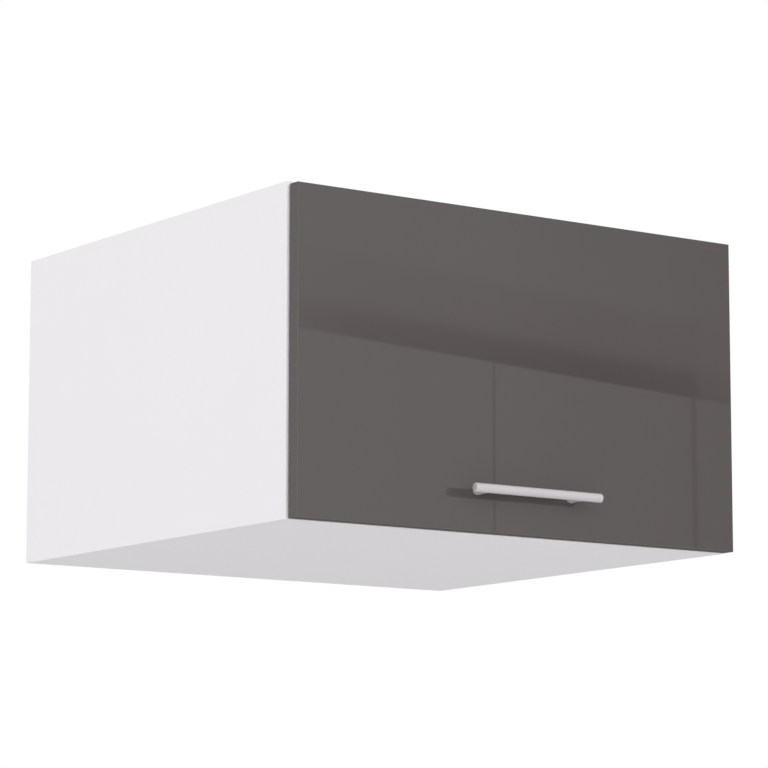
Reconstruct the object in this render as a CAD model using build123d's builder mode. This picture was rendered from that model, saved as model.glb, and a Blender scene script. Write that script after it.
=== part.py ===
"""Deep wall cabinet for the space over a fridge, with one lift-up front.

Millimetres. The origin is the middle of the lower rear edge, where the wall
meets the underside: +X to the right, +Y into the wall, +Z up. The front
faces -Y. Everything that sits at both ends of the cabinet is built for
side = -1 (left) and side = +1 (right).
"""
from build123d import *
from math import cos, radians, sin
import os

# Carcass
cabinet_width = 600.0
cabinet_height = 360.0
carcass_depth = 552.0
panel_thickness = 16.0
band_thickness = 1.0
back_thickness = 3.0
back_recess = 18.0
groove_depth = 6.0
groove_clearance = 0.2

# Front
door_thickness = 16.0
door_gap = 2.0
door_side_reveal = 2.0
door_top_reveal = 3.5
door_bottom_reveal = 0.5
bumper_radius = 4.0

# Bar handle
handle_hole_spacing = 128.0
handle_overhang = 22.5
handle_radius = 5.0
handle_reach = 25.0
handle_height = 44.0
handle_end_chamfer = 1.5
post_foot_radius = 4.5
post_waist_radius = 4.0
post_waist_share = 0.55
post_blend_radius = 7.0
post_sink_share = 0.6

# Small fittings that repeat, and their bores, have a few flat sides
fitting_sides = 8
cam_sides = 16

# Panel joints
joint_inset = 60.0
dowel_offset = 32.0
dowel_radius = 4.0
dowel_length = 30.0
dowel_depth_in_side = 10.5
bolt_bite = 11.0
bolt_shank_radius = 2.5
bolt_head_radius = 3.4
bolt_head_length = 3.0
cam_radius = 7.4
cam_height = 12.5
cam_inset = 34.0
cap_radius = 8.5
cap_thickness = 1.2
hole_clearance = 0.1

# Wall hangers
hanger_width = 16.0
hanger_depth = 52.0
hanger_height = 60.0
hanger_top_gap = 6.0
hook_thickness = 4.0
hook_height = 9.0
hook_drop = 15.0
hook_tip = 4.0
hook_wall_gap = 5.0
hook_clearance = 0.4
hanger_cover_wall = 1.2
hanger_screw_radius = 3.2
hanger_screw_spacing = 26.0

# Lift mechanism: a lever and a parallel guide lever at each side.
# Shut, the levers hang forward and down. Open, they pass under the top panel's front edge and rise.
lever_rest_angle = 60.0
lever_swing = 100.0
pivot_drop = 54.0
door_pin_rise = 66.0
guide_spacing = 34.0
guide_angle = 246.0
knee_open_angle = 12.0
knee_clearance = 14.0
knee_bend_radius = 24.0
arm_width = 14.0
arm_thickness = 3.0
eye_radius = 9.0
bush_radius = 5.2
pin_radius = 4.0
pin_head_radius = 6.0
pin_head_thickness = 1.5
running_clearance = 0.05
side_clearance = 0.3
layer_gap = 1.5

# Lift housing on the side panel
base_thickness = 2.0
housing_depth = 18.0
housing_wall = 1.6
housing_front = 34.0
housing_rear = 160.0
housing_rise = 32.0
housing_fall = 46.0
housing_corner = 9.0
flange_width = 14.0
base_screw_radius = 1.8
base_screw_length = 13.0
screw_head_radius = 3.6
screw_head_height = 2.2
rod_radius = 6.0

# Spring pack: a cam on the lever axle drives a yoke against two springs
cam_start_reach = 30.0
cam_travel = 12.0
cam_margin_angle = 10.0
cam_disc_thickness = 7.0
cam_hub_radius = 11.0
nose_radius = 6.0
nose_clearance = 0.3
yoke_plate_reach = 46.0
yoke_plate_thickness = 4.0
yoke_plate_half_height = 22.0
spring_seat_reach = 150.0
spring_seat_thickness = 3.0
spring_offset = 13.0
spring_mean_radius = 5.2
spring_wire_radius = 1.1
guide_rod_radius = 3.0

# Door brackets
bracket_thickness = 3.0
bracket_pin_setback = 20.0
bracket_margin = 12.0
bracket_foot = 34.0
bracket_side_gap = 3.0
bracket_screw_radius = 2.0
bracket_screw_length = 14.0
handle_screw_radius = 2.0
handle_screw_bite = 10.0

# Worked out from the sizes above
SIDES = {"left": -1, "right": 1}
half_width = cabinet_width / 2
inner_half_width = half_width - panel_thickness
inner_top = cabinet_height - panel_thickness
carcass_front = -carcass_depth
board_front = carcass_front + band_thickness
back_front = -back_recess - back_thickness
door_back = carcass_front - door_gap
door_front = door_back - door_thickness
door_half_width = half_width - door_side_reveal
door_bottom = door_bottom_reveal
door_top = cabinet_height - door_top_reveal
joint_rows = (carcass_front + joint_inset, -joint_inset - back_recess)
dowel_rows = (joint_rows[0] + dowel_offset, joint_rows[1] - dowel_offset)
board_middles = (panel_thickness / 2, cabinet_height - panel_thickness / 2)


def reach_point(start, angle, distance):
    """Point at a distance from start, the angle counted up from the forward direction (-Y)."""
    return (
        start[0] - distance * cos(radians(angle)),
        start[1] + distance * sin(radians(angle)),
    )


def rest_knee(pivot):
    """Knee of the lever on this pivot: open, it stands just in front of the carcass."""
    reach = (pivot[0] - carcass_front + knee_clearance) / cos(radians(knee_open_angle))
    return reach_point(pivot, knee_open_angle - lever_swing, reach)


# Pivots as (y, z): the main lever's and the guide lever's, at the door and at the housing
lever_door = (door_back + bracket_pin_setback, panel_thickness + door_pin_rise)
lever_pivot_height = inner_top - pivot_drop
lever_length = (lever_pivot_height - lever_door[1]) / sin(radians(lever_rest_angle))
lever_pivot = reach_point(lever_door, 180 - lever_rest_angle, lever_length)
guide_pivot = reach_point(lever_pivot, guide_angle, guide_spacing)
guide_door = reach_point(lever_door, guide_angle, guide_spacing)
lever_knee = rest_knee(lever_pivot)
guide_knee = rest_knee(guide_pivot)

# Layers at each side, as distances from the middle of the cabinet, the nearest to the side panel first
base_inner = inner_half_width - base_thickness
cover_inner = base_inner - housing_depth
lever_outer = cover_inner - side_clearance
lever_inner = lever_outer - arm_thickness
bracket_outer = lever_inner - layer_gap
bracket_inner = bracket_outer - bracket_thickness
guide_outer = bracket_inner - layer_gap
guide_inner = guide_outer - arm_thickness
pack_middle = base_inner - (housing_depth - housing_wall) / 2

# Housing outline, as (y, z) limits around the lever's pivot
housing_front_y = lever_pivot[0] - housing_front
housing_rear_y = lever_pivot[0] + housing_rear
housing_top = lever_pivot[1] + housing_rise
housing_bottom = lever_pivot[1] - housing_fall

# Wall hangers in the upper rear corners
hanger_front = back_front - hanger_depth
hanger_bottom = inner_top - hanger_top_gap - hanger_height
hook_layer = inner_half_width - hanger_width / 2
hook_front = hanger_front + hanger_depth / 3
hook_top = hanger_bottom + hanger_height - hook_height


def side_plane(side, inner):
    """Side-on plane, with y to the right and z up, at a distance from the cabinet's middle."""
    return Plane.YZ.offset(side * inner)


def side_pin(side, centre, inner, outer, radius, mode=Mode.ADD):
    """Round pin or bore along X at a (y, z) centre, between two layers."""
    foot = Plane(origin=(side * inner, *centre), z_dir=(side, 0, 0))
    with Locations(foot):
        Cylinder(radius, outer - inner, align=(Align.CENTER, Align.CENTER, Align.MIN), mode=mode)


def side_fitting(side, centre, inner, outer, radius, mode=Mode.ADD):
    """Few-sided small fitting or its bore along X at a (y, z) centre, between two layers."""
    with BuildSketch(side_plane(side, inner)) as outline:
        with Locations(centre):
            RegularPolygon(radius, fitting_sides)
    extrude(outline.sketch, amount=side * (outer - inner), mode=mode)


def box_between(low, high, mode=Mode.ADD):
    """Box from its low corner to its high corner."""
    size = [high[axis] - low[axis] for axis in range(3)]
    with Locations(tuple(low)):
        Box(*size, align=(Align.MIN, Align.MIN, Align.MIN), mode=mode)


def base_screw_places():
    """Places (y, z) of the four screws in the flanges of a lift housing."""
    rows = (housing_front_y - flange_width / 2, housing_rear_y + flange_width / 2)
    heights = (housing_bottom + flange_width / 2, housing_top - flange_width / 2)
    return [(row, height) for row in rows for height in heights]


def bracket_screw_places(side):
    """Places (x, z) of the three screws of a door bracket."""
    across = (bracket_outer + inner_half_width - bracket_side_gap) / 2
    low = guide_door[1] - bracket_foot / 2
    high = lever_door[1] + bracket_foot / 2
    return [(side * across, height) for height in (low, (low + high) / 2, high)]


def hanger_screw_places(side):
    """Places (x, z) of the two adjusting screws of a hanger."""
    middle = hanger_bottom + hanger_height / 2
    step = hanger_screw_spacing / 2
    return [(side * hook_layer, middle - step), (side * hook_layer, middle + step)]


def save(part, name):
    """Label a finished piece and write it under its own name."""
    part.part.label = name
    export_step(part.part, f"parts/{name}.step")


def screw_along_x(side, centre, head_layer, length, radius):
    """Screw driven towards the side panel, with its head on the given layer."""
    side_fitting(side, centre, head_layer - screw_head_height, head_layer, screw_head_radius)
    side_fitting(side, centre, head_layer, head_layer + length, radius)


# Carcass


def side_panel(side):
    """Full-height side panel with the blind bores for dowels, bolts, screws and the back's groove."""
    inner = side * inner_half_width
    outer = side * half_width
    with BuildPart() as panel:
        box_between(
            (min(inner, outer), board_front, 0),
            (max(inner, outer), 0, cabinet_height),
        )
        groove_end = side * (inner_half_width + groove_depth)
        box_between(
            (min(inner, groove_end), back_front - groove_clearance / 2, panel_thickness - groove_depth),
            (
                max(inner, groove_end),
                -back_recess + groove_clearance / 2,
                inner_top + groove_depth,
            ),
            mode=Mode.SUBTRACT,
        )
        for middle in board_middles:
            for row in joint_rows:
                side_fitting(
                    side,
                    (row, middle),
                    inner_half_width,
                    inner_half_width + bolt_bite + hole_clearance,
                    bolt_shank_radius + hole_clearance,
                    mode=Mode.SUBTRACT,
                )
            for row in dowel_rows:
                side_fitting(
                    side,
                    (row, middle),
                    inner_half_width,
                    inner_half_width + dowel_depth_in_side + hole_clearance,
                    dowel_radius + hole_clearance,
                    mode=Mode.SUBTRACT,
                )
        for centre in base_screw_places():
            side_fitting(
                side,
                centre,
                inner_half_width,
                base_inner + base_screw_length + hole_clearance,
                base_screw_radius + hole_clearance,
                mode=Mode.SUBTRACT,
            )
    return panel


def cross_panel(bottom, inner_face):
    """Top or bottom panel between the sides, with its cams let in from above."""
    middle = bottom + panel_thickness / 2
    with BuildPart() as panel:
        box_between(
            (-inner_half_width, board_front, bottom),
            (inner_half_width, 0, bottom + panel_thickness),
        )
        box_between(
            (-inner_half_width, back_front - groove_clearance / 2, inner_face - groove_depth),
            (inner_half_width, -back_recess + groove_clearance / 2, inner_face + groove_depth),
            mode=Mode.SUBTRACT,
        )
        for side in SIDES.values():
            for row in joint_rows:
                side_fitting(
                    side,
                    (row, middle),
                    inner_half_width - cam_inset,
                    inner_half_width,
                    dowel_radius + hole_clearance,
                    mode=Mode.SUBTRACT,
                )
                with BuildSketch(Plane.XY.offset(bottom + panel_thickness)):
                    with Locations((side * (inner_half_width - cam_inset), row)):
                        RegularPolygon(cam_radius + hole_clearance, cam_sides)
                extrude(amount=-cam_height - hole_clearance, mode=Mode.SUBTRACT)
            for row in dowel_rows:
                side_fitting(
                    side,
                    (row, middle),
                    inner_half_width - (dowel_length - dowel_depth_in_side) - hole_clearance,
                    inner_half_width,
                    dowel_radius + hole_clearance,
                    mode=Mode.SUBTRACT,
                )
    return panel


def back_panel():
    """Thin back in the grooves, cut away at its upper corners where the hooks come through."""
    reach = groove_depth - groove_clearance
    with BuildPart() as panel:
        box_between(
            (-inner_half_width - reach, back_front, panel_thickness - reach),
            (inner_half_width + reach, -back_recess, inner_top + reach),
        )
        for side in SIDES.values():
            near = side * (hook_layer - hook_thickness / 2 - hook_clearance)
            far = side * (hook_layer + hook_thickness / 2 + hook_clearance)
            box_between(
                (min(near, far), back_front, hook_top - hook_height - hook_drop - hook_clearance),
                (max(near, far), -back_recess, hook_top + hook_clearance),
                mode=Mode.SUBTRACT,
            )
    return panel


def front_edge_bands():
    """Bands on the front edges of the four carcass panels."""
    with BuildPart() as bands:
        for side in SIDES.values():
            edges = (side * inner_half_width, side * half_width)
            box_between((min(edges), carcass_front, 0), (max(edges), board_front, cabinet_height))
        for bottom in (0, inner_top):
            box_between(
                (-inner_half_width, carcass_front, bottom),
                (inner_half_width, board_front, bottom + panel_thickness),
            )
    return bands


# Panel joints


def wooden_dowels():
    """Two dowels in each of the four corner joints."""
    low = inner_half_width - (dowel_length - dowel_depth_in_side)
    with BuildPart() as dowels:
        for side in SIDES.values():
            for middle in board_middles:
                for row in dowel_rows:
                    side_fitting(side, (row, middle), low, low + dowel_length, dowel_radius)
    return dowels


def cam_bolts():
    """Bolts screwed into the sides, each with a head held by a cam."""
    head = inner_half_width - cam_inset
    bite = inner_half_width + bolt_bite
    with BuildPart() as bolts:
        for side in SIDES.values():
            for middle in board_middles:
                for row in joint_rows:
                    place = (row, middle)
                    side_fitting(side, place, head - bolt_head_length, head, bolt_head_radius)
                    side_fitting(side, place, head, bite, bolt_shank_radius)
    return bolts


def cam_housings():
    """Round cams, open on the side that the bolt head enters."""
    with BuildPart() as cams:
        for side in SIDES.values():
            for middle in board_middles:
                for row in joint_rows:
                    centre_x = side * (inner_half_width - cam_inset)
                    top = middle + panel_thickness / 2
                    with BuildSketch(Plane.XY.offset(top)):
                        with Locations((centre_x, row)):
                            RegularPolygon(cam_radius, cam_sides)
                    extrude(amount=-cam_height)
                    side_fitting(
                        side,
                        (row, middle),
                        inner_half_width - cam_inset - bolt_head_length - hole_clearance,
                        inner_half_width - cam_inset + 2 * cam_radius,
                        bolt_head_radius + hole_clearance,
                        mode=Mode.SUBTRACT,
                    )
    return cams


def cam_cover_caps():
    """Push-in caps over the cams that face the inside of the cabinet."""
    with BuildPart() as caps:
        with BuildSketch(Plane.XY.offset(panel_thickness)):
            for side in SIDES.values():
                for row in joint_rows:
                    with Locations((side * (inner_half_width - cam_inset), row)):
                        Circle(cap_radius)
        extrude(amount=cap_thickness)
        chamfer(caps.faces().sort_by(Axis.Z)[-1:].edges(), cap_thickness / 3)
    return caps


# Wall hangers


def hanger_body(side):
    """Moulded block in the upper rear corner, slotted for the hook."""
    outer = side * inner_half_width
    inner = side * (inner_half_width - hanger_width)
    with BuildPart() as body:
        box_between(
            (min(inner, outer), hanger_front, hanger_bottom),
            (max(inner, outer), back_front, hanger_bottom + hanger_height),
        )
        chamfer(body.edges().filter_by(Axis.X).group_by(Axis.Y)[0], hanger_cover_wall)
        slot_near = side * (hook_layer - hook_thickness / 2 - hook_clearance)
        slot_far = side * (hook_layer + hook_thickness / 2 + hook_clearance)
        box_between(
            (min(slot_near, slot_far), hook_front - hook_clearance, hook_top - 2 * hook_height),
            (max(slot_near, slot_far), back_front, hook_top + hook_clearance),
            mode=Mode.SUBTRACT,
        )
        for place in hanger_screw_places(side):
            with BuildSketch(Plane.XZ.offset(-hanger_front)):
                with Locations(place):
                    RegularPolygon(hanger_screw_radius + hole_clearance, fitting_sides)
            extrude(amount=-hanger_depth / 4, mode=Mode.SUBTRACT)
    return body


def hanger_hook(side):
    """Steel strip through the back panel that turns down over a wall rail."""
    near = hook_layer - hook_thickness / 2
    with BuildPart() as hook:
        with BuildSketch(side_plane(side, near)):
            with BuildLine():
                Polyline(
                    (hook_front, hook_top),
                    (-hook_wall_gap, hook_top),
                    (-hook_wall_gap, hook_top - hook_height - hook_drop),
                    (-hook_wall_gap - hook_tip, hook_top - hook_height - hook_drop),
                    (-hook_wall_gap - hook_tip, hook_top - hook_height),
                    (hook_front, hook_top - hook_height),
                    close=True,
                )
            make_face()
        extrude(amount=side * hook_thickness)
        tips = hook.edges().filter_by(Axis.X).group_by(Axis.Y)[-1]
        fillet(tips.sort_by(Axis.Z)[-1], hook_tip / 2)
    return hook


def hanger_screws():
    """Height and depth screws in the front of each hanger."""
    with BuildPart() as screws:
        for side in SIDES.values():
            with BuildSketch(Plane.XZ.offset(-hanger_front)):
                with Locations(*hanger_screw_places(side)):
                    RegularPolygon(hanger_screw_radius, fitting_sides)
            extrude(amount=-hanger_depth / 4 + hole_clearance)
    return screws


def hanger_cover(side):
    """Snap-on cap over the hanger, open towards the side panel and the back."""
    outer = side * inner_half_width
    inner = side * (inner_half_width - hanger_width)
    wall = hanger_cover_wall
    gap = hole_clearance
    with BuildPart() as cover:
        shell_inner = inner - side * (wall + gap)
        box_between(
            (min(shell_inner, outer), hanger_front - wall - gap, hanger_bottom - wall - gap),
            (max(shell_inner, outer), back_front, hanger_bottom + hanger_height + wall + gap),
        )
        corners = cover.edges().filter_by(Axis.X).group_by(Axis.Y)[0]
        chamfer(corners, hanger_cover_wall)
        core_inner = inner - side * gap
        core = [
            (min(core_inner, outer), hanger_front - gap, hanger_bottom - gap),
            (max(core_inner, outer), back_front, hanger_bottom + hanger_height + gap),
        ]
        box_between(core[0], core[1], mode=Mode.SUBTRACT)
    return cover


# Lift mechanism


def housing_outline(extra):
    """Rounded outline of the lift housing in the pending side-on sketch, longer by extra at both ends."""
    middle = ((housing_front_y + housing_rear_y) / 2, (housing_bottom + housing_top) / 2)
    with Locations(middle):
        RectangleRounded(
            housing_rear_y - housing_front_y + 2 * extra,
            housing_top - housing_bottom,
            housing_corner,
        )


def lift_base(side):
    """Steel base plate on the side panel, with a bent tab that the springs push against."""
    seat_y = lever_pivot[0] + spring_seat_reach
    seat_inner = pack_middle - spring_mean_radius - spring_wire_radius
    with BuildPart() as base:
        with BuildSketch(side_plane(side, base_inner)):
            housing_outline(flange_width)
            with Locations(*base_screw_places()):
                RegularPolygon(base_screw_radius + hole_clearance, fitting_sides, mode=Mode.SUBTRACT)
            with Locations(lever_pivot, guide_pivot):
                Circle(pin_radius + running_clearance, mode=Mode.SUBTRACT)
        extrude(amount=side * base_thickness)
        tab = (side * seat_inner, side * base_inner)
        box_between(
            (min(tab), seat_y, lever_pivot[1] - yoke_plate_half_height),
            (max(tab), seat_y + spring_seat_thickness, lever_pivot[1] + yoke_plate_half_height),
        )
        with BuildSketch(Plane.XZ.offset(-seat_y)):
            for step in (-spring_offset, spring_offset):
                with Locations((side * pack_middle, lever_pivot[1] + step)):
                    RegularPolygon(guide_rod_radius + hole_clearance, fitting_sides)
        extrude(amount=-spring_seat_thickness, mode=Mode.SUBTRACT)
    return base


def lift_cover(side):
    """Moulded cover over the spring pack, with openings for the two pivots."""
    with BuildPart() as cover:
        with BuildSketch(side_plane(side, cover_inner)):
            housing_outline(0)
        extrude(amount=side * housing_depth)
        outer_face = cover.faces().sort_by(Axis.X)[0 if side > 0 else -1]
        chamfer(outer_face.edges(), housing_wall * 0.6)
        with BuildSketch(side_plane(side, cover_inner + housing_wall)):
            housing_outline(-housing_wall)
            with Locations(((housing_front_y + housing_rear_y) / 2, housing_top)):
                Rectangle(housing_rear_y, 2 * housing_wall, mode=Mode.SUBTRACT)
            with Locations(((housing_front_y + housing_rear_y) / 2, housing_bottom)):
                Rectangle(housing_rear_y, 2 * housing_wall, mode=Mode.SUBTRACT)
        extrude(amount=side * (housing_depth - housing_wall), mode=Mode.SUBTRACT)
        for place in (lever_pivot, guide_pivot):
            side_pin(
                side,
                place,
                cover_inner,
                cover_inner + housing_wall,
                pin_radius + side_clearance,
                mode=Mode.SUBTRACT,
            )
    return cover


def lift_base_screws():
    """Screws through the flanges of both lift housings into the side panels."""
    with BuildPart() as screws:
        for side in SIDES.values():
            for place in base_screw_places():
                screw_along_x(side, place, base_inner, base_screw_length, base_screw_radius)
    return screws


def spring_rods():
    """Guide rods that keep the springs straight, held in the spring seats."""
    start = lever_pivot[0] + yoke_plate_reach - cam_travel - yoke_plate_thickness
    end = lever_pivot[0] + spring_seat_reach + spring_seat_thickness
    with BuildPart() as rods:
        for side in SIDES.values():
            with BuildSketch(Plane.XZ.offset(-start)):
                for step in (-spring_offset, spring_offset):
                    with Locations((side * pack_middle, lever_pivot[1] + step)):
                        RegularPolygon(guide_rod_radius, fitting_sides)
            extrude(amount=-(end - start))
    return rods


def lift_spring(side):
    """Two pressed springs between the yoke and the spring seat, as plain sleeves in the closed cover."""
    start = lever_pivot[0] + yoke_plate_reach + yoke_plate_thickness
    end = lever_pivot[0] + spring_seat_reach
    with BuildPart() as springs:
        with BuildSketch(Plane.XZ.offset(-start)):
            for step in (-spring_offset, spring_offset):
                with Locations((side * pack_middle, lever_pivot[1] + step)):
                    RegularPolygon(spring_mean_radius + spring_wire_radius, fitting_sides)
                    RegularPolygon(spring_mean_radius - spring_wire_radius, fitting_sides, mode=Mode.SUBTRACT)
        extrude(amount=-(end - start))
    return springs


def guide_arm_pins():
    """Fixed pins that carry the guide levers."""
    with BuildPart() as pins:
        for side in SIDES.values():
            side_pin(side, guide_pivot, guide_inner - side_clearance, base_inner + base_thickness, pin_radius)
            head = guide_inner - side_clearance
            side_pin(side, guide_pivot, head - pin_head_thickness, head, pin_head_radius)
    return pins


def bent_arm(side, inner, pivot, knee, end):
    """Add a flat lever with one bend, from its pivot over the knee to its end, to the open part."""
    with BuildSketch(side_plane(side, inner)) as outline:
        with BuildLine():
            FilletPolyline(pivot, knee, end, radius=knee_bend_radius)
        trace(line_width=arm_width)
        with Locations(pivot, end):
            Circle(eye_radius)
    extrude(outline.sketch, amount=side * arm_thickness)


def main_arm(side):
    """Driven lever: keyed to its axle at the housing and bushed at the door."""
    with BuildPart() as arm:
        bent_arm(side, lever_inner, lever_pivot, lever_knee, lever_door)
        side_pin(side, lever_pivot, lever_inner, lever_outer, pin_radius, mode=Mode.SUBTRACT)
        side_pin(side, lever_door, lever_inner, lever_outer, bush_radius, mode=Mode.SUBTRACT)
    return arm


def guide_arm(side):
    """Guide lever: bushed at both ends."""
    with BuildPart() as arm:
        bent_arm(side, guide_inner, guide_pivot, guide_knee, guide_door)
        for place in (guide_pivot, guide_door):
            side_pin(side, place, guide_inner, guide_outer, bush_radius, mode=Mode.SUBTRACT)
    return arm


def bushes(places, sides, inner, outer):
    """Plastic bearing bushes in the eyes of levers, between two layers."""
    with BuildPart() as rings:
        for side in sides:
            for place in places:
                side_pin(side, place, inner, outer, bush_radius)
                side_pin(side, place, inner, outer, pin_radius + running_clearance, mode=Mode.SUBTRACT)
    return rings


def arm_axle(side):
    """Axle that carries the main lever and the cam, and reaches into the cross rod."""
    with BuildPart() as axle:
        side_pin(side, lever_pivot, lever_inner - eye_radius, base_inner + base_thickness, pin_radius)
    return axle


def stabiliser_rod():
    """Tube along the lever axis that makes both sides lift together."""
    with BuildPart() as rod:
        with BuildSketch(Plane.YZ.offset(-lever_inner)):
            with Locations(lever_pivot):
                Circle(rod_radius)
                Circle(pin_radius, mode=Mode.SUBTRACT)
        extrude(amount=2 * lever_inner)
    return rod


def cam_point(angle):
    """Point (y, z) on the cam's working edge: one nose radius inside an even spiral."""
    turned = 180 - angle
    rate = cam_travel / radians(lever_swing)
    reach = cam_start_reach - rate * radians(turned)
    size = (reach**2 + rate**2) ** 0.5
    inset = nose_radius + nose_clearance
    along = reach - inset * reach / size
    across = inset * rate / size
    forward = along * cos(radians(angle)) - across * sin(radians(angle))
    upward = along * sin(radians(angle)) + across * cos(radians(angle))
    return (lever_pivot[0] - forward, lever_pivot[1] + upward)


def cam_disc(side):
    """Snail cam whose edge lets the yoke forward at an even rate as the lever swings."""
    first = 180 - lever_swing - cam_margin_angle
    last = 180 + cam_margin_angle
    edge = [cam_point(first + (last - first) * step / 6) for step in range(7)]
    low = pack_middle - cam_disc_thickness / 2
    with BuildPart() as cam:
        with BuildSketch(side_plane(side, low)):
            with BuildLine():
                Spline(*edge)
                Line(edge[-1], lever_pivot)
                Line(lever_pivot, edge[0])
            make_face()
            with Locations(lever_pivot):
                Circle(cam_hub_radius)
                Circle(pin_radius, mode=Mode.SUBTRACT)
        extrude(amount=side * cam_disc_thickness)
    return cam


def spring_yoke(side):
    """Sliding yoke: a round nose on the cam and a plate that the springs press."""
    nose_y = lever_pivot[0] + cam_start_reach
    plate_y = lever_pivot[0] + yoke_plate_reach
    low = pack_middle - cam_disc_thickness / 2
    reach = spring_mean_radius + spring_wire_radius
    with BuildPart() as yoke:
        with BuildSketch(side_plane(side, low)):
            with Locations((nose_y, lever_pivot[1])):
                Circle(nose_radius)
            with Locations(((nose_y + plate_y) / 2, lever_pivot[1])):
                Rectangle(plate_y - nose_y, 2 * nose_radius)
        extrude(amount=side * cam_disc_thickness)
        with BuildSketch(side_plane(side, pack_middle - reach)):
            with Locations((plate_y + yoke_plate_thickness / 2, lever_pivot[1])):
                Rectangle(yoke_plate_thickness, 2 * yoke_plate_half_height)
        extrude(amount=side * 2 * reach)
        with BuildSketch(Plane.XZ.offset(-plate_y)):
            for step in (-spring_offset, spring_offset):
                with Locations((side * pack_middle, lever_pivot[1] + step)):
                    RegularPolygon(guide_rod_radius + hole_clearance, fitting_sides)
        extrude(amount=-yoke_plate_thickness, mode=Mode.SUBTRACT)
    return yoke


# Front


def door_panel():
    """Board of the front, inside its edge bands, bored for the handle's screws."""
    with BuildPart() as panel:
        box_between(
            (-door_half_width + band_thickness, door_front, door_bottom + band_thickness),
            (door_half_width - band_thickness, door_back, door_top - band_thickness),
        )
        with BuildSketch(Plane.XZ.offset(-door_front)):
            with Locations(*handle_places()):
                RegularPolygon(handle_screw_radius + hole_clearance, fitting_sides)
        extrude(amount=-door_thickness, mode=Mode.SUBTRACT)
        with BuildSketch(Plane.XZ.offset(-door_back)):
            for side in SIDES.values():
                with Locations(*bracket_screw_places(side)):
                    RegularPolygon(bracket_screw_radius + hole_clearance, fitting_sides)
        extrude(amount=bracket_screw_length - bracket_thickness + hole_clearance, mode=Mode.SUBTRACT)
    return panel


def door_edge_bands():
    """Dark bands on the four edges of the front."""
    with BuildPart() as bands:
        for side in SIDES.values():
            edges = (side * door_half_width, side * (door_half_width - band_thickness))
            box_between((min(edges), door_front, door_bottom), (max(edges), door_back, door_top))
        for bottom in (door_bottom, door_top - band_thickness):
            box_between(
                (-door_half_width + band_thickness, door_front, bottom),
                (door_half_width - band_thickness, door_back, bottom + band_thickness),
            )
    return bands


def handle():
    """Round bar on two posts: each narrows from its foot to a waist and swells along the bar."""
    bar_y = door_front - handle_reach
    bar_z = door_bottom + handle_height
    bar_half = handle_hole_spacing / 2 + handle_overhang
    rise = handle_reach - handle_radius
    with BuildPart() as bar:
        with BuildSketch(Plane.YZ.offset(-bar_half)):
            with Locations((bar_y, bar_z)):
                Circle(handle_radius)
        extrude(amount=2 * bar_half)
        ends = bar.edges().filter_by(GeomType.CIRCLE)
        chamfer(ends, handle_end_chamfer)
        for place in handle_places():
            with BuildSketch(Plane.XZ.offset(-door_front)):
                with Locations(place):
                    Circle(post_foot_radius)
            with BuildSketch(Plane.XZ.offset(-door_front + rise * post_waist_share)):
                with Locations(place):
                    Circle(post_waist_radius)
            with BuildSketch(Plane.XZ.offset(-door_front + rise + handle_radius * post_sink_share)):
                with Locations(place):
                    Ellipse(post_blend_radius, post_waist_radius)
            loft()
        with BuildSketch(Plane.XZ.offset(-door_front)):
            with Locations(*handle_places()):
                RegularPolygon(handle_screw_radius + hole_clearance, fitting_sides)
        extrude(amount=handle_screw_bite + hole_clearance, mode=Mode.SUBTRACT)
    return bar


def handle_places():
    """Places (x, z) of the handle's two posts."""
    height = door_bottom + handle_height
    return [(-handle_hole_spacing / 2, height), (handle_hole_spacing / 2, height)]


def handle_screws():
    """Screws from inside the front into the handle's posts."""
    with BuildPart() as screws:
        with BuildSketch(Plane.XZ.offset(-door_back)):
            with Locations(*handle_places()):
                RegularPolygon(handle_screw_radius, fitting_sides)
        extrude(amount=door_thickness + handle_screw_bite)
        with BuildSketch(Plane.XZ.offset(-door_back)):
            with Locations(*handle_places()):
                RegularPolygon(screw_head_radius, fitting_sides)
        extrude(amount=-screw_head_height)
    return screws


def door_bracket(side):
    """Bent steel bracket: a foot on the back of the front and an ear with the two lever pins."""
    foot_low = guide_door[1] - bracket_foot
    foot_high = lever_door[1] + bracket_foot
    foot_end = inner_half_width - bracket_side_gap
    with BuildPart() as bracket:
        with BuildSketch(side_plane(side, bracket_inner)):
            with BuildLine():
                Polyline(
                    (door_back, foot_low + bracket_margin),
                    (guide_door[0] + bracket_margin, guide_door[1] - bracket_margin),
                    (guide_door[0] + bracket_margin, guide_door[1] + bracket_margin),
                    (lever_door[0] + bracket_margin, lever_door[1] + bracket_margin),
                    (door_back, foot_high - bracket_margin),
                    close=True,
                )
            make_face()
            rear = vertices().group_by(Axis.Y)[1:]
            fillet([corner for group in rear for corner in group], bracket_margin / 2)
            with Locations(lever_door, guide_door):
                Circle(pin_radius, mode=Mode.SUBTRACT)
        extrude(amount=side * bracket_thickness)
        foot = (side * bracket_inner, side * foot_end)
        box_between(
            (min(foot), door_back, foot_low),
            (max(foot), door_back + bracket_thickness, foot_high),
        )
        with BuildSketch(Plane.XZ.offset(-door_back)):
            with Locations(*bracket_screw_places(side)):
                RegularPolygon(bracket_screw_radius + hole_clearance, fitting_sides)
        extrude(amount=-bracket_thickness, mode=Mode.SUBTRACT)
    return bracket


def bracket_screws():
    """Screws through both door brackets into the front."""
    with BuildPart() as screws:
        for side in SIDES.values():
            with BuildSketch(Plane.XZ.offset(-door_back - bracket_thickness)):
                with Locations(*bracket_screw_places(side)):
                    RegularPolygon(bracket_screw_radius, fitting_sides)
            extrude(amount=bracket_screw_length)
            with BuildSketch(Plane.XZ.offset(-door_back - bracket_thickness)):
                with Locations(*bracket_screw_places(side)):
                    RegularPolygon(screw_head_radius, fitting_sides)
            extrude(amount=-screw_head_height)
    return screws


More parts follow.
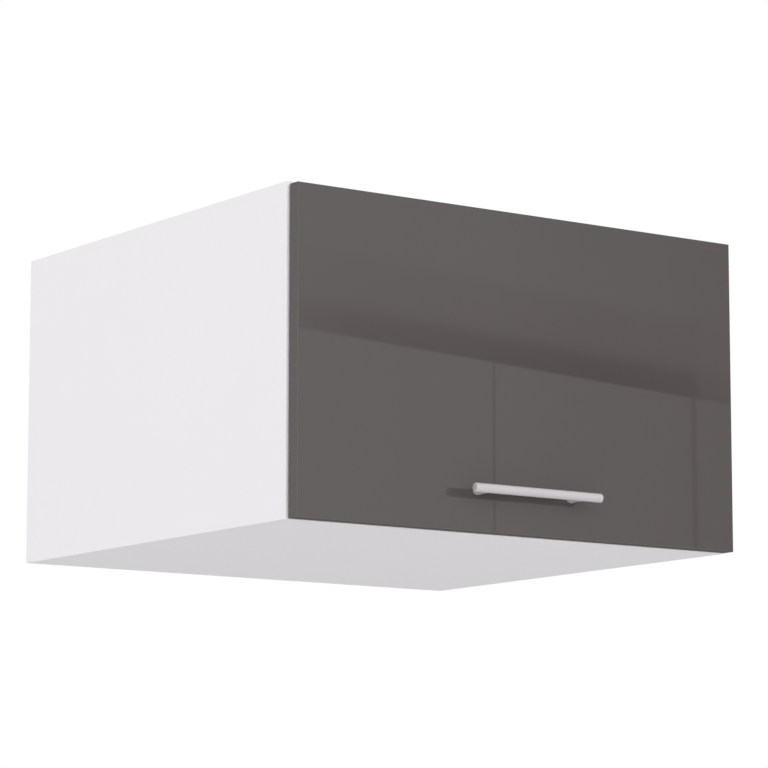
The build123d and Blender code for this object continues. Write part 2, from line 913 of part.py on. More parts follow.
def bracket_pins(side):
    """Riveted pins of a door bracket: one towards the main lever, one towards the guide lever."""
    with BuildPart() as pins:
        outer_end = lever_outer + side_clearance
        side_pin(side, lever_door, bracket_inner, outer_end, pin_radius)
        side_pin(side, lever_door, outer_end, outer_end + pin_head_thickness, pin_head_radius)
        inner_end = guide_inner - side_clearance
        side_pin(side, guide_door, inner_end, bracket_outer, pin_radius)
        side_pin(side, guide_door, inner_end - pin_head_thickness, inner_end, pin_head_radius)
    return pins


def door_bumpers():
    """Soft dots at the corners of the front that meet the carcass."""
    across = half_width - panel_thickness / 2
    heights = (panel_thickness / 2, cabinet_height - panel_thickness / 2)
    with BuildPart() as bumpers:
        with BuildSketch(Plane.XZ.offset(-door_back)):
            for side in SIDES.values():
                for height in heights:
                    with Locations((side * across, height)):
                        Circle(bumper_radius)
        extrude(amount=-(door_gap - side_clearance))
    return bumpers


os.makedirs("parts", exist_ok=True)

save(cross_panel(inner_top, inner_top), "top_panel")
save(cross_panel(0, panel_thickness), "bottom_panel")
save(back_panel(), "back_panel")
save(front_edge_bands(), "front_edge_bands")
save(wooden_dowels(), "wooden_dowels")
save(cam_bolts(), "cam_bolts")
save(cam_housings(), "cam_housings")
save(cam_cover_caps(), "cam_cover_caps")
save(hanger_screws(), "hanger_screws")
save(lift_base_screws(), "lift_base_screws")
save(spring_rods(), "spring_rods")
save(guide_arm_pins(), "guide_arm_pins")
save(bushes([lever_door], SIDES.values(), lever_inner, lever_outer), "main_arm_bushes")
save(stabiliser_rod(), "stabiliser_rod")
save(door_panel(), "door_panel")
save(door_edge_bands(), "door_edge_bands")
save(handle(), "handle")
save(handle_screws(), "handle_screws")
save(bracket_screws(), "bracket_screws")
save(door_bumpers(), "door_bumpers")
for hand, side in SIDES.items():
    save(side_panel(side), f"side_panel_{hand}")
    save(hanger_body(side), f"hanger_body_{hand}")
    save(hanger_hook(side), f"hanger_hook_{hand}")
    save(hanger_cover(side), f"hanger_cover_{hand}")
    save(lift_base(side), f"lift_base_{hand}")
    save(lift_cover(side), f"lift_cover_{hand}")
    save(lift_spring(side), f"lift_spring_{hand}")
    save(main_arm(side), f"main_arm_{hand}")
    save(guide_arm(side), f"guide_arm_{hand}")
    guide_eyes = [guide_pivot, guide_door]
    save(bushes(guide_eyes, [side], guide_inner, guide_outer), f"guide_arm_bushes_{hand}")
    save(arm_axle(side), f"arm_axle_{hand}")
    save(cam_disc(side), f"cam_disc_{hand}")
    save(spring_yoke(side), f"spring_yoke_{hand}")
    save(door_bracket(side), f"door_bracket_{hand}")
    save(bracket_pins(side), f"bracket_pins_{hand}")
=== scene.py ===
"""Studio scene for a deep wall cabinet with one lift-up front.

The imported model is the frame: metres, the origin in the middle of the lower rear edge, +X to the right,
+Y into the wall, +Z up. The pieces built here take the place of the model's nodes and stay where they are.
"""

import logging
import math
from abc import ABC, abstractmethod
from collections.abc import Iterator
from dataclasses import dataclass
from enum import Enum
from functools import cache
from typing import ClassVar

import bmesh
import bpy
from mathutils import Matrix, Vector


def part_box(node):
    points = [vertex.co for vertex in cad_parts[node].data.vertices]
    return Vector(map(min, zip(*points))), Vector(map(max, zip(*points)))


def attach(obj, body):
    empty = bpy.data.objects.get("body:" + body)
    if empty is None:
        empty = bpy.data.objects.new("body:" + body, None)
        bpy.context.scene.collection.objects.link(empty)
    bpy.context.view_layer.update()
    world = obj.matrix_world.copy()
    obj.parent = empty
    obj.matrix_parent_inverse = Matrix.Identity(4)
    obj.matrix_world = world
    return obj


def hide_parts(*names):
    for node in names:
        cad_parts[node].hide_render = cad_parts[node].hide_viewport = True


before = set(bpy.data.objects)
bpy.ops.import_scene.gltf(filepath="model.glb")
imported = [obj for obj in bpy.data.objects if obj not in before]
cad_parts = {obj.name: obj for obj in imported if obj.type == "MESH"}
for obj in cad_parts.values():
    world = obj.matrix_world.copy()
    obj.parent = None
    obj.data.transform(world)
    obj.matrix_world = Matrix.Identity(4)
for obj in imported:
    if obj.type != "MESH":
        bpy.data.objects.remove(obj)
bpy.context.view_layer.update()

LOG = logging.getLogger("wall_cabinet")
MM = 0.001
WHITE = (1.0, 1.0, 1.0, 1.0)

Colour = tuple[float, float, float]
Triple = tuple[float, float, float]
Pair = tuple[float, float]
Stops = tuple[Pair, ...]
BMesh = bmesh.types.BMesh
Socket = bpy.types.NodeSocket
# The colour, the roughness and the height of a finish.
Look = tuple[Socket, Socket, Socket]


class Body(Enum):
    """The bodies that pieces ride on."""

    CARCASS = "carcass"
    LIFT_ARMS = "lift_arms"
    GUIDE_LEFT = "guide_lever_left"
    GUIDE_RIGHT = "guide_lever_right"
    SPRING_LEFT = "spring_slide_left"
    SPRING_RIGHT = "spring_slide_right"
    FRONT = "front"


class Side(Enum):
    """The two ends of the cabinet, with the sign of their X."""

    LEFT = -1
    RIGHT = 1

    @property
    def word(self) -> str:
        """Returns: the ending of this side's node names."""
        return self.name.lower()

    @property
    def guide_body(self) -> Body:
        """Returns: the body of this side's guide lever."""
        return Body.GUIDE_LEFT if self is Side.LEFT else Body.GUIDE_RIGHT

    @property
    def spring_body(self) -> Body:
        """Returns: the body of this side's spring yoke."""
        return Body.SPRING_LEFT if self is Side.LEFT else Body.SPRING_RIGHT


class SocketKind(Enum):
    """What a socket of a shader group carries."""

    NUMBER = "NodeSocketFloat"
    COLOUR = "NodeSocketColor"
    VECTOR = "NodeSocketVector"


def linear(red: int, green: int, blue: int) -> Colour:
    """Returns: the linear values that shaders take for a colour as a screen shows it, 0 to 255."""
    shown = (red / 255, green / 255, blue / 255)
    return tuple(v / 12.92 if v <= 0.04045 else ((v + 0.055) / 1.055) ** 2.4 for v in shown)


class NodePen:
    """Adds and joins the nodes of one tree."""

    column_width: ClassVar[int] = 180
    # A Mix node has inputs and outputs for every type; these are its share, its two colours, and its result.
    mix_inputs: ClassVar[tuple[int, int, int]] = (0, 6, 7)
    mix_output: ClassVar[int] = 2

    def __init__(self, tree: bpy.types.NodeTree) -> None:
        """Takes up the tree that the pen's nodes go into."""
        self.tree = tree
        self.column = 0

    @classmethod
    def afresh(cls, owner: bpy.types.ID) -> "NodePen":
        """Empties the tree of a material or a world and takes it up.

        Args:
            owner: The material or the world.

        Returns:
            A pen for its tree.
        """
        owner.use_nodes = True
        owner.node_tree.nodes.clear()
        return cls(owner.node_tree)

    def add(self, kind: str, **settings: object) -> bpy.types.Node:
        """Adds one node.

        Args:
            kind: The node's type name.
            settings: Its properties, by name.

        Returns:
            The new node.
        """
        node = self.tree.nodes.new(kind)
        node.location = (self.column * self.column_width, 0)
        self.column += 1
        for name, value in settings.items():
            setattr(node, name, value)
        return node

    def join(self, socket: Socket, value: object) -> None:
        """Links an output to an input, or sets anything else as the input's own value.

        Args:
            socket: The input.
            value: The output socket or the value.
        """
        if isinstance(value, Socket):
            self.tree.links.new(value, socket)
        else:
            socket.default_value = value

    def feed(self, node: bpy.types.Node, **values: object) -> bpy.types.Node:
        """Sets a node's inputs.

        Args:
            node: The node whose inputs are set.
            values: Value or output socket by input name, with _ for a space.

        Returns:
            The same node.
        """
        for name, value in values.items():
            self.join(node.inputs[name.replace("_", " ")], value)
        return node

    def sum_of(self, operation: str, first: object, second: object) -> Socket:
        """Works out one sum of two values.

        Args:
            operation: The Math node's operation.
            first: Its first value or socket.
            second: Its second value or socket.

        Returns:
            The result's socket.
        """
        node = self.add("ShaderNodeMath", operation=operation)
        for place, value in enumerate((first, second)):
            self.join(node.inputs[place], value)
        return node.outputs[0]

    def mix(self, share: object, first: object, second: object) -> Socket:
        """Mixes two colours.

        Args:
            share: How much of the second colour, a value or a socket.
            first: The first colour, as four values or a socket.
            second: The second colour, as four values or a socket.

        Returns:
            The mixed colour's socket.
        """
        node = self.add("ShaderNodeMix", data_type="RGBA")
        for place, value in zip(self.mix_inputs, (share, first, second)):
            self.join(node.inputs[place], value)
        return node.outputs[self.mix_output]

    def blend(self, share: object, first: bpy.types.Node, second: bpy.types.Node) -> bpy.types.Node:
        """Adds a mix of two shaders.

        Args:
            share: The second shader's share, a number or a socket.
            first: The shader's node at share 0.
            second: The shader's node at share 1.

        Returns:
            The mix node.
        """
        node = self.feed(self.add("ShaderNodeMixShader"), Fac=share)
        for socket, shader in zip(node.inputs[1:], (first, second)):
            self.join(socket, shader.outputs[0])
        return node

    def axes(self, place: Socket) -> dict[str, Socket]:
        """Returns: the sockets of a place's X, Y and Z, by those names."""
        node = self.feed(self.add("ShaderNodeSeparateXYZ"), Vector=place)
        return {name: node.outputs[name] for name in "XYZ"}

    def channel(self, colour: Socket, name: str) -> Socket:
        """Returns: the socket of one channel of a colour: Red, Green or Blue."""
        return self.feed(self.add("ShaderNodeSeparateColor"), Color=colour).outputs[name]

    def ramp(self, share: Socket, stops: tuple[tuple[float, Colour], ...], easing: str = "LINEAR") -> Socket:
        """Adds a colour ramp.

        Args:
            share: The way along the ramp, 0 to 1.
            stops: Pairs of a way along it and the colour there.
            easing: How one stop's colour goes over into the next.

        Returns:
            The colour's socket.
        """
        node = self.feed(self.add("ShaderNodeValToRGB"), Fac=share)
        marks = node.color_ramp.elements
        node.color_ramp.interpolation = easing
        while len(marks) < len(stops):
            marks.new(0.5)
        for mark, (place, colour) in zip(marks, stops):
            mark.position = place
            mark.color = (*colour, 1)
        return node.outputs["Color"]

    def close(self, shader: bpy.types.Node, kind: str = "ShaderNodeOutputMaterial") -> None:
        """Joins a shader to a new output node of the given kind."""
        self.feed(self.add(kind), Surface=shader.outputs[0])


class Effects:
    """The shader groups that several finishes share, each built once."""

    @staticmethod
    def start(name: str, takes: dict[str, SocketKind], gives: dict[str, SocketKind]) -> NodePen:
        """Starts a group with named sockets.

        Args:
            name: The group's name.
            takes: What each input carries, by its name.
            gives: What each output carries, by its name.

        Returns:
            A pen for the new group.
        """
        tree = bpy.data.node_groups.new(name, "ShaderNodeTree")
        for way, sockets in (("INPUT", takes), ("OUTPUT", gives)):
            for title, kind in sockets.items():
                tree.interface.new_socket(title, in_out=way, socket_type=kind.value)
        return NodePen(tree)

    @staticmethod
    @cache
    def surface() -> bpy.types.NodeTree:
        """Draws a slow drift of the colour, and a fine grain in roughness and height.

        Returns:
            The group.
        """
        number, colour = SocketKind.NUMBER, SocketKind.COLOUR
        takes = {"Vector": SocketKind.VECTOR, "Colour": colour, "Drift": number, "Drift Scale": number}
        takes |= {"Grain Scale": number, "Roughness": number, "Spread": number}
        pen = Effects.start("surface", takes, {"Colour": colour, "Roughness": number, "Height": number})
        given = pen.add("NodeGroupInput").outputs
        drift = pen.add("ShaderNodeTexNoise")
        pen.feed(drift, Vector=given["Vector"], Scale=given["Drift Scale"], Detail=3.0)
        grain = pen.add("ShaderNodeTexNoise")
        pen.feed(grain, Vector=given["Vector"], Scale=given["Grain Scale"], Detail=2.0)
        about = pen.sum_of("SUBTRACT", drift.outputs["Fac"], 0.5)
        value = pen.sum_of("ADD", pen.sum_of("MULTIPLY", about, given["Drift"]), 1.0)
        tint = pen.add("ShaderNodeHueSaturation")
        pen.feed(tint, Color=given["Colour"], Value=value)
        about = pen.sum_of("SUBTRACT", grain.outputs["Fac"], 0.5)
        rough = pen.sum_of("ADD", pen.sum_of("MULTIPLY", about, given["Spread"]), given["Roughness"])
        out = pen.add("NodeGroupOutput")
        pen.feed(out, Colour=tint.outputs["Color"], Roughness=rough, Height=grain.outputs["Fac"])
        return pen.tree

    @staticmethod
    @cache
    def chips() -> bpy.types.NodeTree:
        """Draws pressed wood chips, as a board's raw edge shows them.

        Returns:
            The group.
        """
        takes = {"Vector": SocketKind.VECTOR, "Scale": SocketKind.NUMBER}
        pen = Effects.start("chips", takes, {"Colour": SocketKind.COLOUR, "Height": SocketKind.NUMBER})
        given = pen.add("NodeGroupInput").outputs
        cells = pen.add("ShaderNodeTexVoronoi", feature="F1")
        pen.feed(cells, Vector=given["Vector"], Scale=given["Scale"], Randomness=1.0)
        tones = (
            (0.0, linear(96, 68, 42)), (0.35, linear(152, 118, 80)),
            (0.8, linear(190, 158, 116)), (1.0, linear(212, 186, 146)),
        )
        wood = pen.ramp(pen.channel(cells.outputs["Color"], "Red"), tones)
        pen.feed(pen.add("NodeGroupOutput"), Colour=wood, Height=cells.outputs["Distance"])
        return pen.tree

    @staticmethod
    @cache
    def bloom() -> bpy.types.NodeTree:
        """Draws the crystal patches of a zinc coat, as a mask.

        Returns:
            The group.
        """
        takes = {"Vector": SocketKind.VECTOR, "Scale": SocketKind.NUMBER}
        pen = Effects.start("bloom", takes, {"Mask": SocketKind.NUMBER})
        given = pen.add("NodeGroupInput").outputs
        cells = pen.add("ShaderNodeTexVoronoi", feature="SMOOTH_F1")
        pen.feed(cells, Vector=given["Vector"], Scale=given["Scale"], Smoothness=0.4)
        pen.feed(pen.add("NodeGroupOutput"), Mask=pen.channel(cells.outputs["Color"], "Green"))
        return pen.tree


@dataclass(frozen=True)
class Finish:
    """What every finish has: a colour that drifts a little, and a grain."""

    name: str
    colour: Colour
    roughness: float
    spread: float = 0.06
    drift: float = 0.03
    drift_scale: float = 9.0
    grain_scale: float = 900.0
    grain_depth: float = 0.05
    grain_height: float = 0.5 * MM
    stretch: Triple = (1.0, 1.0, 1.0)
    metallic: float = 0.0
    ior: float = 1.5
    gloss: float = 0.5

    def material(self) -> bpy.types.Material:
        """Gives this finish's material, which is made on first use.

        Returns:
            The material.
        """
        title = self.name + "_finish"
        if title not in bpy.data.materials:
            self.draw(NodePen.afresh(bpy.data.materials.new(title)))
        return bpy.data.materials[title]

    def draw(self, pen: NodePen) -> None:
        """Draws the whole node tree.

        Args:
            pen: The pen for the material's tree.
        """
        place = self.placed(pen)
        effect = self.spread_out(pen, place)
        colour, roughness, height = self.worked(pen, place, effect)
        bump = pen.add("ShaderNodeBump")
        pen.feed(bump, Height=height, Strength=self.grain_depth, Distance=self.grain_height)
        shader = pen.add("ShaderNodeBsdfPrincipled")
        pen.feed(shader, Base_Color=colour, Roughness=roughness, Normal=bump.outputs["Normal"])
        pen.feed(shader, Metallic=self.metallic, IOR=self.ior, Specular_IOR_Level=self.gloss)
        self.polish(shader)
        pen.close(shader)

    def placed(self, pen: NodePen) -> Socket:
        """Gives the pattern's place, from the Object coordinates.

        Args:
            pen: The pen for the material's tree.

        Returns:
            The place's socket.
        """
        where = pen.add("ShaderNodeTexCoord").outputs["Object"]
        mapping = pen.add("ShaderNodeMapping")
        return pen.feed(mapping, Vector=where, Scale=self.stretch).outputs["Vector"]

    def spread_out(self, pen: NodePen, place: Socket) -> bpy.types.Node:
        """Places the shared surface group with this finish's values.

        Args:
            pen: The pen for the material's tree.
            place: The pattern's place.

        Returns:
            The group's node.
        """
        node = pen.add("ShaderNodeGroup", node_tree=Effects.surface())
        pen.feed(node, Vector=place, Colour=(*self.colour, 1), Drift=self.drift)
        pen.feed(node, Drift_Scale=self.drift_scale, Grain_Scale=self.grain_scale)
        return pen.feed(node, Roughness=self.roughness, Spread=self.spread)

    def worked(self, pen: NodePen, place: Socket, effect: bpy.types.Node) -> Look:
        """Returns: the finish's look, as the surface group gives it; a kind of finish may change it."""
        return effect.outputs["Colour"], effect.outputs["Roughness"], effect.outputs["Height"]

    def polish(self, shader: bpy.types.Node) -> None:
        """Sets what else the Principled BSDF needs; most finishes need nothing."""


@dataclass(frozen=True)
class BoardFinish(Finish):
    """Coated chipboard: white faces, and raw chips on the edge against the wall."""

    wall_line: float = -0.2 * MM
    chip_scale: float = 520.0
    chip_roughness: float = 0.45

    def worked(self, pen: NodePen, place: Socket, effect: bpy.types.Node) -> Look:
        """Puts the raw chips where the board meets the wall.

        Args:
            pen: The pen for the material's tree.
            place: The pattern's place.
            effect: The surface group's node.

        Returns:
            The sockets of the colour, the roughness and the height.
        """
        chips = pen.add("ShaderNodeGroup", node_tree=Effects.chips())
        pen.feed(chips, Vector=place, Scale=self.chip_scale)
        raw = pen.sum_of("GREATER_THAN", pen.axes(place)["Y"], self.wall_line)
        colour = pen.mix(raw, effect.outputs["Colour"], chips.outputs["Colour"])
        rough = pen.sum_of("MULTIPLY", raw, self.chip_roughness)
        rough = pen.sum_of("ADD", rough, effect.outputs["Roughness"])
        height = pen.sum_of("MULTIPLY", raw, chips.outputs["Height"])
        height = pen.sum_of("ADD", height, effect.outputs["Height"])
        return colour, rough, height


@dataclass(frozen=True)
class GlossFinish(Finish):
    """High-gloss front: a mirror-smooth face, and a plainer back."""

    back_line: float = -554.4 * MM
    back_roughness: float = 0.32

    def worked(self, pen: NodePen, place: Socket, effect: bpy.types.Node) -> Look:
        """Makes the back of the front satin.

        Args:
            pen: The pen for the material's tree.
            place: The pattern's place.
            effect: The surface group's node.

        Returns:
            The sockets of the colour, the roughness and the height.
        """
        back = pen.sum_of("GREATER_THAN", pen.axes(place)["Y"], self.back_line)
        extra = pen.sum_of("MULTIPLY", back, self.back_roughness)
        rough = pen.sum_of("ADD", extra, effect.outputs["Roughness"])
        return effect.outputs["Colour"], rough, effect.outputs["Height"]


@dataclass(frozen=True)
class ZincFinish(Finish):
    """Zinc-coated steel, with pale crystal patches."""

    bloom_scale: float = 260.0
    bloom_depth: float = 0.12
    bloom_lift: float = 1.25

    def worked(self, pen: NodePen, place: Socket, effect: bpy.types.Node) -> Look:
        """Lays the crystal patches over the colour and the roughness.

        Args:
            pen: The pen for the material's tree.
            place: The pattern's place.
            effect: The surface group's node.

        Returns:
            The sockets of the colour, the roughness and the height.
        """
        bloom = pen.add("ShaderNodeGroup", node_tree=Effects.bloom())
        pen.feed(bloom, Vector=place, Scale=self.bloom_scale)
        share = pen.sum_of("MULTIPLY", bloom.outputs["Mask"], self.bloom_depth)
        paler = tuple(min(1.0, v * self.bloom_lift) for v in self.colour)
        colour = pen.mix(share, effect.outputs["Colour"], (*paler, 1))
        rough = pen.sum_of("ADD", share, effect.outputs["Roughness"])
        return colour, rough, effect.outputs["Height"]


@dataclass(frozen=True)
class ClearFinish(Finish):
    """Clear soft plastic that lets light through."""

    clearness: float = 0.85

    def polish(self, shader: bpy.types.Node) -> None:
        """Makes the piece see-through, by its Principled BSDF."""
        shader.inputs["Transmission Weight"].default_value = self.clearness


WHITE_BOARD = BoardFinish(
    "white_board", linear(232, 229, 232), roughness=0.42, spread=0.1, drift=0.012, drift_scale=5.0,
    grain_scale=1500.0, grain_depth=0.06,
)
WHITE_BAND = Finish("white_band", linear(232, 230, 232), roughness=0.34, drift=0.01, grain_depth=0.03)
BACK_BOARD = Finish(
    "back_board", linear(226, 224, 225), roughness=0.5, spread=0.1, drift=0.02, grain_scale=700.0,
    grain_depth=0.12,
)
FRONT_BOARD = GlossFinish(
    "front_board", linear(78, 73, 72), roughness=0.018, spread=0.006, drift=0.01, drift_scale=4.0,
    grain_scale=120.0, grain_depth=0.003,
)
FRONT_BAND = GlossFinish(
    "front_band", linear(98, 95, 95), roughness=0.4, spread=0.05, drift=0.015, grain_scale=500.0,
    grain_depth=0.01, back_roughness=0.0, gloss=0.0,
)
HANDLE_METAL = Finish(
    "handle_metal", linear(190, 186, 189), roughness=0.42, spread=0.1, drift=0.03, drift_scale=30.0,
    grain_scale=700.0, grain_depth=0.05, stretch=(0.06, 1.0, 1.0), metallic=0.1, gloss=0.35,
)
ROD_METAL = Finish(
    "rod_metal", linear(198, 199, 202), roughness=0.28, spread=0.12, drift=0.04, drift_scale=30.0,
    grain_scale=800.0, grain_depth=0.05, stretch=(0.05, 1.0, 1.0), metallic=1.0,
)
ZINC_STEEL = ZincFinish(
    "zinc_steel", linear(188, 190, 194), roughness=0.3, spread=0.14, drift=0.08, drift_scale=25.0,
    grain_scale=900.0, grain_depth=0.08, metallic=1.0,
)
CAST_ZINC = Finish(
    "cast_zinc", linear(160, 161, 163), roughness=0.5, spread=0.16, drift=0.12, drift_scale=70.0,
    grain_scale=1300.0, grain_depth=0.25, metallic=1.0,
)
SPRING_STEEL = Finish(
    "spring_steel", linear(120, 121, 125), roughness=0.32, spread=0.1, drift=0.1, drift_scale=60.0,
    grain_scale=1000.0, grain_depth=0.08, metallic=1.0,
)
BEECH = Finish(
    "beech", linear(203, 168, 124), roughness=0.6, spread=0.12, drift=0.35, drift_scale=60.0,
    grain_scale=900.0, grain_depth=0.3, stretch=(0.12, 1.0, 1.0),
)
LIGHT_PLASTIC = Finish(
    "light_plastic", linear(196, 197, 199), roughness=0.46, spread=0.1, drift=0.015, grain_scale=1700.0,
    grain_depth=0.14,
)
WHITE_PLASTIC = Finish(
    "white_plastic", linear(233, 232, 230), roughness=0.4, spread=0.08, drift=0.012, grain_scale=1700.0,
    grain_depth=0.1,
)
BLACK_PLASTIC = Finish(
    "black_plastic", linear(34, 34, 36), roughness=0.42, spread=0.1, drift=0.1, grain_scale=1500.0,
    grain_depth=0.1,
)
CLEAR_RUBBER = ClearFinish(
    "clear_rubber", linear(236, 238, 240), roughness=0.18, spread=0.08, drift=0.02, grain_scale=600.0,
    ior=1.45,
)


@dataclass(frozen=True)
class Solid:
    """One closed solid of a node: its box, its long axis, and which end is the wider."""

    low: Vector
    high: Vector
    axis: int
    head_low: bool

    @property
    def centre(self) -> Vector:
        """Returns: the middle of the box."""
        return (self.low + self.high) / 2

    @property
    def size(self) -> Vector:
        """Returns: the box's three sides."""
        return self.high - self.low

    @property
    def length(self) -> float:
        """Returns: the side along the long axis."""
        return self.size[self.axis]

    @property
    def radius(self) -> float:
        """Returns: half the side across the long axis."""
        return self.size[(self.axis + 1) % 3] / 2

    @property
    def place(self) -> Matrix:
        """Gives the move that lays a +Z shape along the solid, from its wider end.

        Returns:
            The matrix.
        """
        start = self.centre.copy()
        start[self.axis] = (self.low if self.head_low else self.high)[self.axis]
        return Workbench.along(self.axis, start, forward=self.head_low)


class Workbench:
    """Mesh steps that several pieces share. Every size is in metres."""

    # Points this near are one point, and faces that turn less than this, in degrees, are one face.
    one_point: ClassVar[float] = 0.002 * MM
    one_face: ClassVar[float] = 0.4

    @staticmethod
    def merged(node: str) -> BMesh:
        """Copies a node's mesh and joins its loose triangles into whole faces.

        Args:
            node: The node's name.

        Returns:
            The merged copy.
        """
        bm = bmesh.new()
        bm.from_mesh(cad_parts[node].data)
        bmesh.ops.remove_doubles(bm, verts=bm.verts[:], dist=Workbench.one_point)
        bmesh.ops.dissolve_limit(
            bm, angle_limit=math.radians(Workbench.one_face), use_dissolve_boundaries=False,
            verts=bm.verts[:], edges=bm.edges[:], delimit=set(),
        )
        return bm

    @staticmethod
    def solids(node: str, axis: int) -> list[Solid]:
        """Finds the separate solids of a node, such as the screws of one set.

        Args:
            node: The node's name.
            axis: The solids' long axis, 0 to 2.

        Returns:
            One entry per solid.
        """
        bm = Workbench.merged(node)
        found, seen = [], set()
        for first in bm.verts:
            if first in seen:
                continue
            group, edge = [], [first]
            seen.add(first)
            while edge:
                here = edge.pop()
                group.append(here.co.copy())
                for link in here.link_edges:
                    other = link.other_vert(here)
                    if other not in seen:
                        seen.add(other)
                        edge.append(other)
            low = Vector(min(p[i] for p in group) for i in range(3))
            high = Vector(max(p[i] for p in group) for i in range(3))
            across = (axis + 1) % 3
            middle = (low + high)[across] / 2
            near = max(abs(p[across] - middle) for p in group if p[axis] < low[axis] + MM)
            far = max(abs(p[across] - middle) for p in group if p[axis] > high[axis] - MM)
            found.append(Solid(low, high, axis, near > far))
        bm.free()
        return found

    @staticmethod
    def soften(bm: BMesh, width: float, segments: int, angle: float = 30.0) -> None:
        """Rounds every edge that turns by more than an angle.

        Args:
            bm: The mesh.
            width: The rounding's width.
            segments: Steps in it.
            angle: The least turn, in degrees.
        """
        limit = math.radians(angle)
        sharp = [e for e in bm.edges if len(e.link_faces) == 2 and e.calc_face_angle(0.0) > limit]
        bmesh.ops.bevel(
            bm, geom=sharp, offset=width, offset_type="OFFSET", affect="EDGES", segments=segments,
            profile=0.5, material=-1, clamp_overlap=True,
        )

    @staticmethod
    def poured(bm: BMesh, name: str) -> bpy.types.Mesh:
        """Turns a bmesh into a mesh.

        Args:
            bm: The bmesh; it is used up.
            name: The mesh's name.

        Returns:
            The mesh.
        """
        mesh = bpy.data.meshes.new(name)
        bm.to_mesh(mesh)
        bm.free()
        return mesh

    @staticmethod
    def linked(name: str, data: bpy.types.ID) -> bpy.types.Object:
        """Makes an object and adds it to the scene.

        Args:
            name: The object's name.
            data: Its mesh, light or camera.

        Returns:
            The object.
        """
        made = bpy.data.objects.new(name, data)
        bpy.context.scene.collection.objects.link(made)
        return made

    @staticmethod
    def join(bm: BMesh, own: BMesh, place: Matrix) -> None:
        """Adds a finished shape to a mesh, in its place.

        Args:
            bm: The mesh that it joins.
            own: The shape, round its own zero; it is used up.
            place: Takes it to its place.
        """
        bmesh.ops.recalc_face_normals(own, faces=own.faces[:])
        bmesh.ops.transform(own, matrix=place, verts=own.verts[:])
        spare = Workbench.poured(own, "spare")
        bm.from_mesh(spare)
        bpy.data.meshes.remove(spare)

    @staticmethod
    def turned(bm: BMesh, outline: list[Pair], steps: int, place: Matrix) -> None:
        """Turns an outline about its own long axis.

        Args:
            bm: The mesh that the turned shape joins.
            outline: Pairs of the way along the axis and the radius there.
            steps: Faces around.
            place: Takes the shape's own axis, +Z, to its place.
        """
        own = bmesh.new()
        points = [own.verts.new((radius, 0.0, along)) for along, radius in outline]
        lines = [own.edges.new(pair) for pair in zip(points, points[1:])]
        bmesh.ops.spin(
            own, geom=points + lines, cent=(0, 0, 0), axis=(0, 0, 1), angle=math.tau, steps=steps,
            use_merge=True,
        )
        bmesh.ops.remove_doubles(own, verts=own.verts[:], dist=Workbench.one_point / 2)
        Workbench.join(bm, own, place)

    @staticmethod
    def along(axis: int, start: Vector, forward: bool = True) -> Matrix:
        """Gives the turn and move that lay a +Z shape along an axis.

        Args:
            axis: The axis, 0 to 2.
            start: Where the shape's own zero goes.
            forward: True for the axis' positive way.

        Returns:
            The matrix.
        """
        way = Vector([0.0, 0.0, 0.0])
        way[axis] = 1.0 if forward else -1.0
        return Matrix.Translation(start) @ way.to_track_quat("Z", "Y").to_matrix().to_4x4()

    @staticmethod
    def piece(
        bm: BMesh, name: str, finish: Finish, body: Body, node: str,
        crease: float = 32.0, outward: bool = True,
    ) -> bpy.types.Object:
        """Makes the finished piece of a mesh, in its place.

        Args:
            bm: The mesh, in the row frame; it is used up.
            name: The piece's name.
            finish: Its finish.
            body: The body that it rides on.
            node: The node whose place it takes.
            crease: The least turn of an edge that stays sharp, in degrees.
            outward: True to recalculate the normals.

        Returns:
            The new object.
        """
        if outward:
            bmesh.ops.recalc_face_normals(bm, faces=bm.faces[:])
        mesh = Workbench.poured(bm, name)
        mesh.shade_smooth()
        mesh.set_sharp_from_angle(angle=math.radians(crease))
        mesh.materials.append(finish.material())
        made = Workbench.linked(name, mesh)
        flat = made.modifiers.new("flat_faces", "WEIGHTED_NORMAL")
        flat.keep_sharp = True
        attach(made, body.value)
        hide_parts(node)
        return made

    @staticmethod
    def sheet(name: str, place: Matrix, material: bpy.types.Material) -> bpy.types.Object:
        """Adds a flat rectangle of the studio, which isn't part of the cabinet.

        Args:
            name: Its name.
            place: Takes a square of two by two metres, face up, to its place and size.
            material: Its material.

        Returns:
            The new object.
        """
        bm = bmesh.new()
        bmesh.ops.create_grid(bm, x_segments=1, y_segments=1, size=1.0, matrix=place)
        mesh = Workbench.poured(bm, name)
        mesh.materials.append(material)
        made = Workbench.linked(name, mesh)
        return made


class Maker(ABC):
    """Makes one piece."""

    @abstractmethod
    def build(self) -> bpy.types.Object:
        """Returns: the finished piece, in its place."""


class SubAssembly(ABC):
    """A part of the cabinet that is made of several pieces."""

    @abstractmethod
    def parts(self) -> Iterator[Maker]:
        """Returns: the maker of each piece, in order."""

    def build(self) -> list[bpy.types.Object]:
        """Returns: the finished pieces."""
        return [maker.build() for maker in self.parts()]


@dataclass
class SoftEdged(Maker):
    """A node's own shape with its edges rounded a little."""

    node: str
    finish: Finish
    body: Body
    width: float
    segments: int = 2
    crease: float = 32.0

    def build(self) -> bpy.types.Object:
        """Rounds the node's edges, unless the width is 0.

        Returns:
            The finished piece, in the node's place.
        """
        bm = Workbench.merged(self.node)
        if self.width > 0:
            Workbench.soften(bm, self.width, self.segments)
        name = "soft_" + self.node
        return Workbench.piece(bm, name, self.finish, self.body, self.node, self.crease, outward=False)


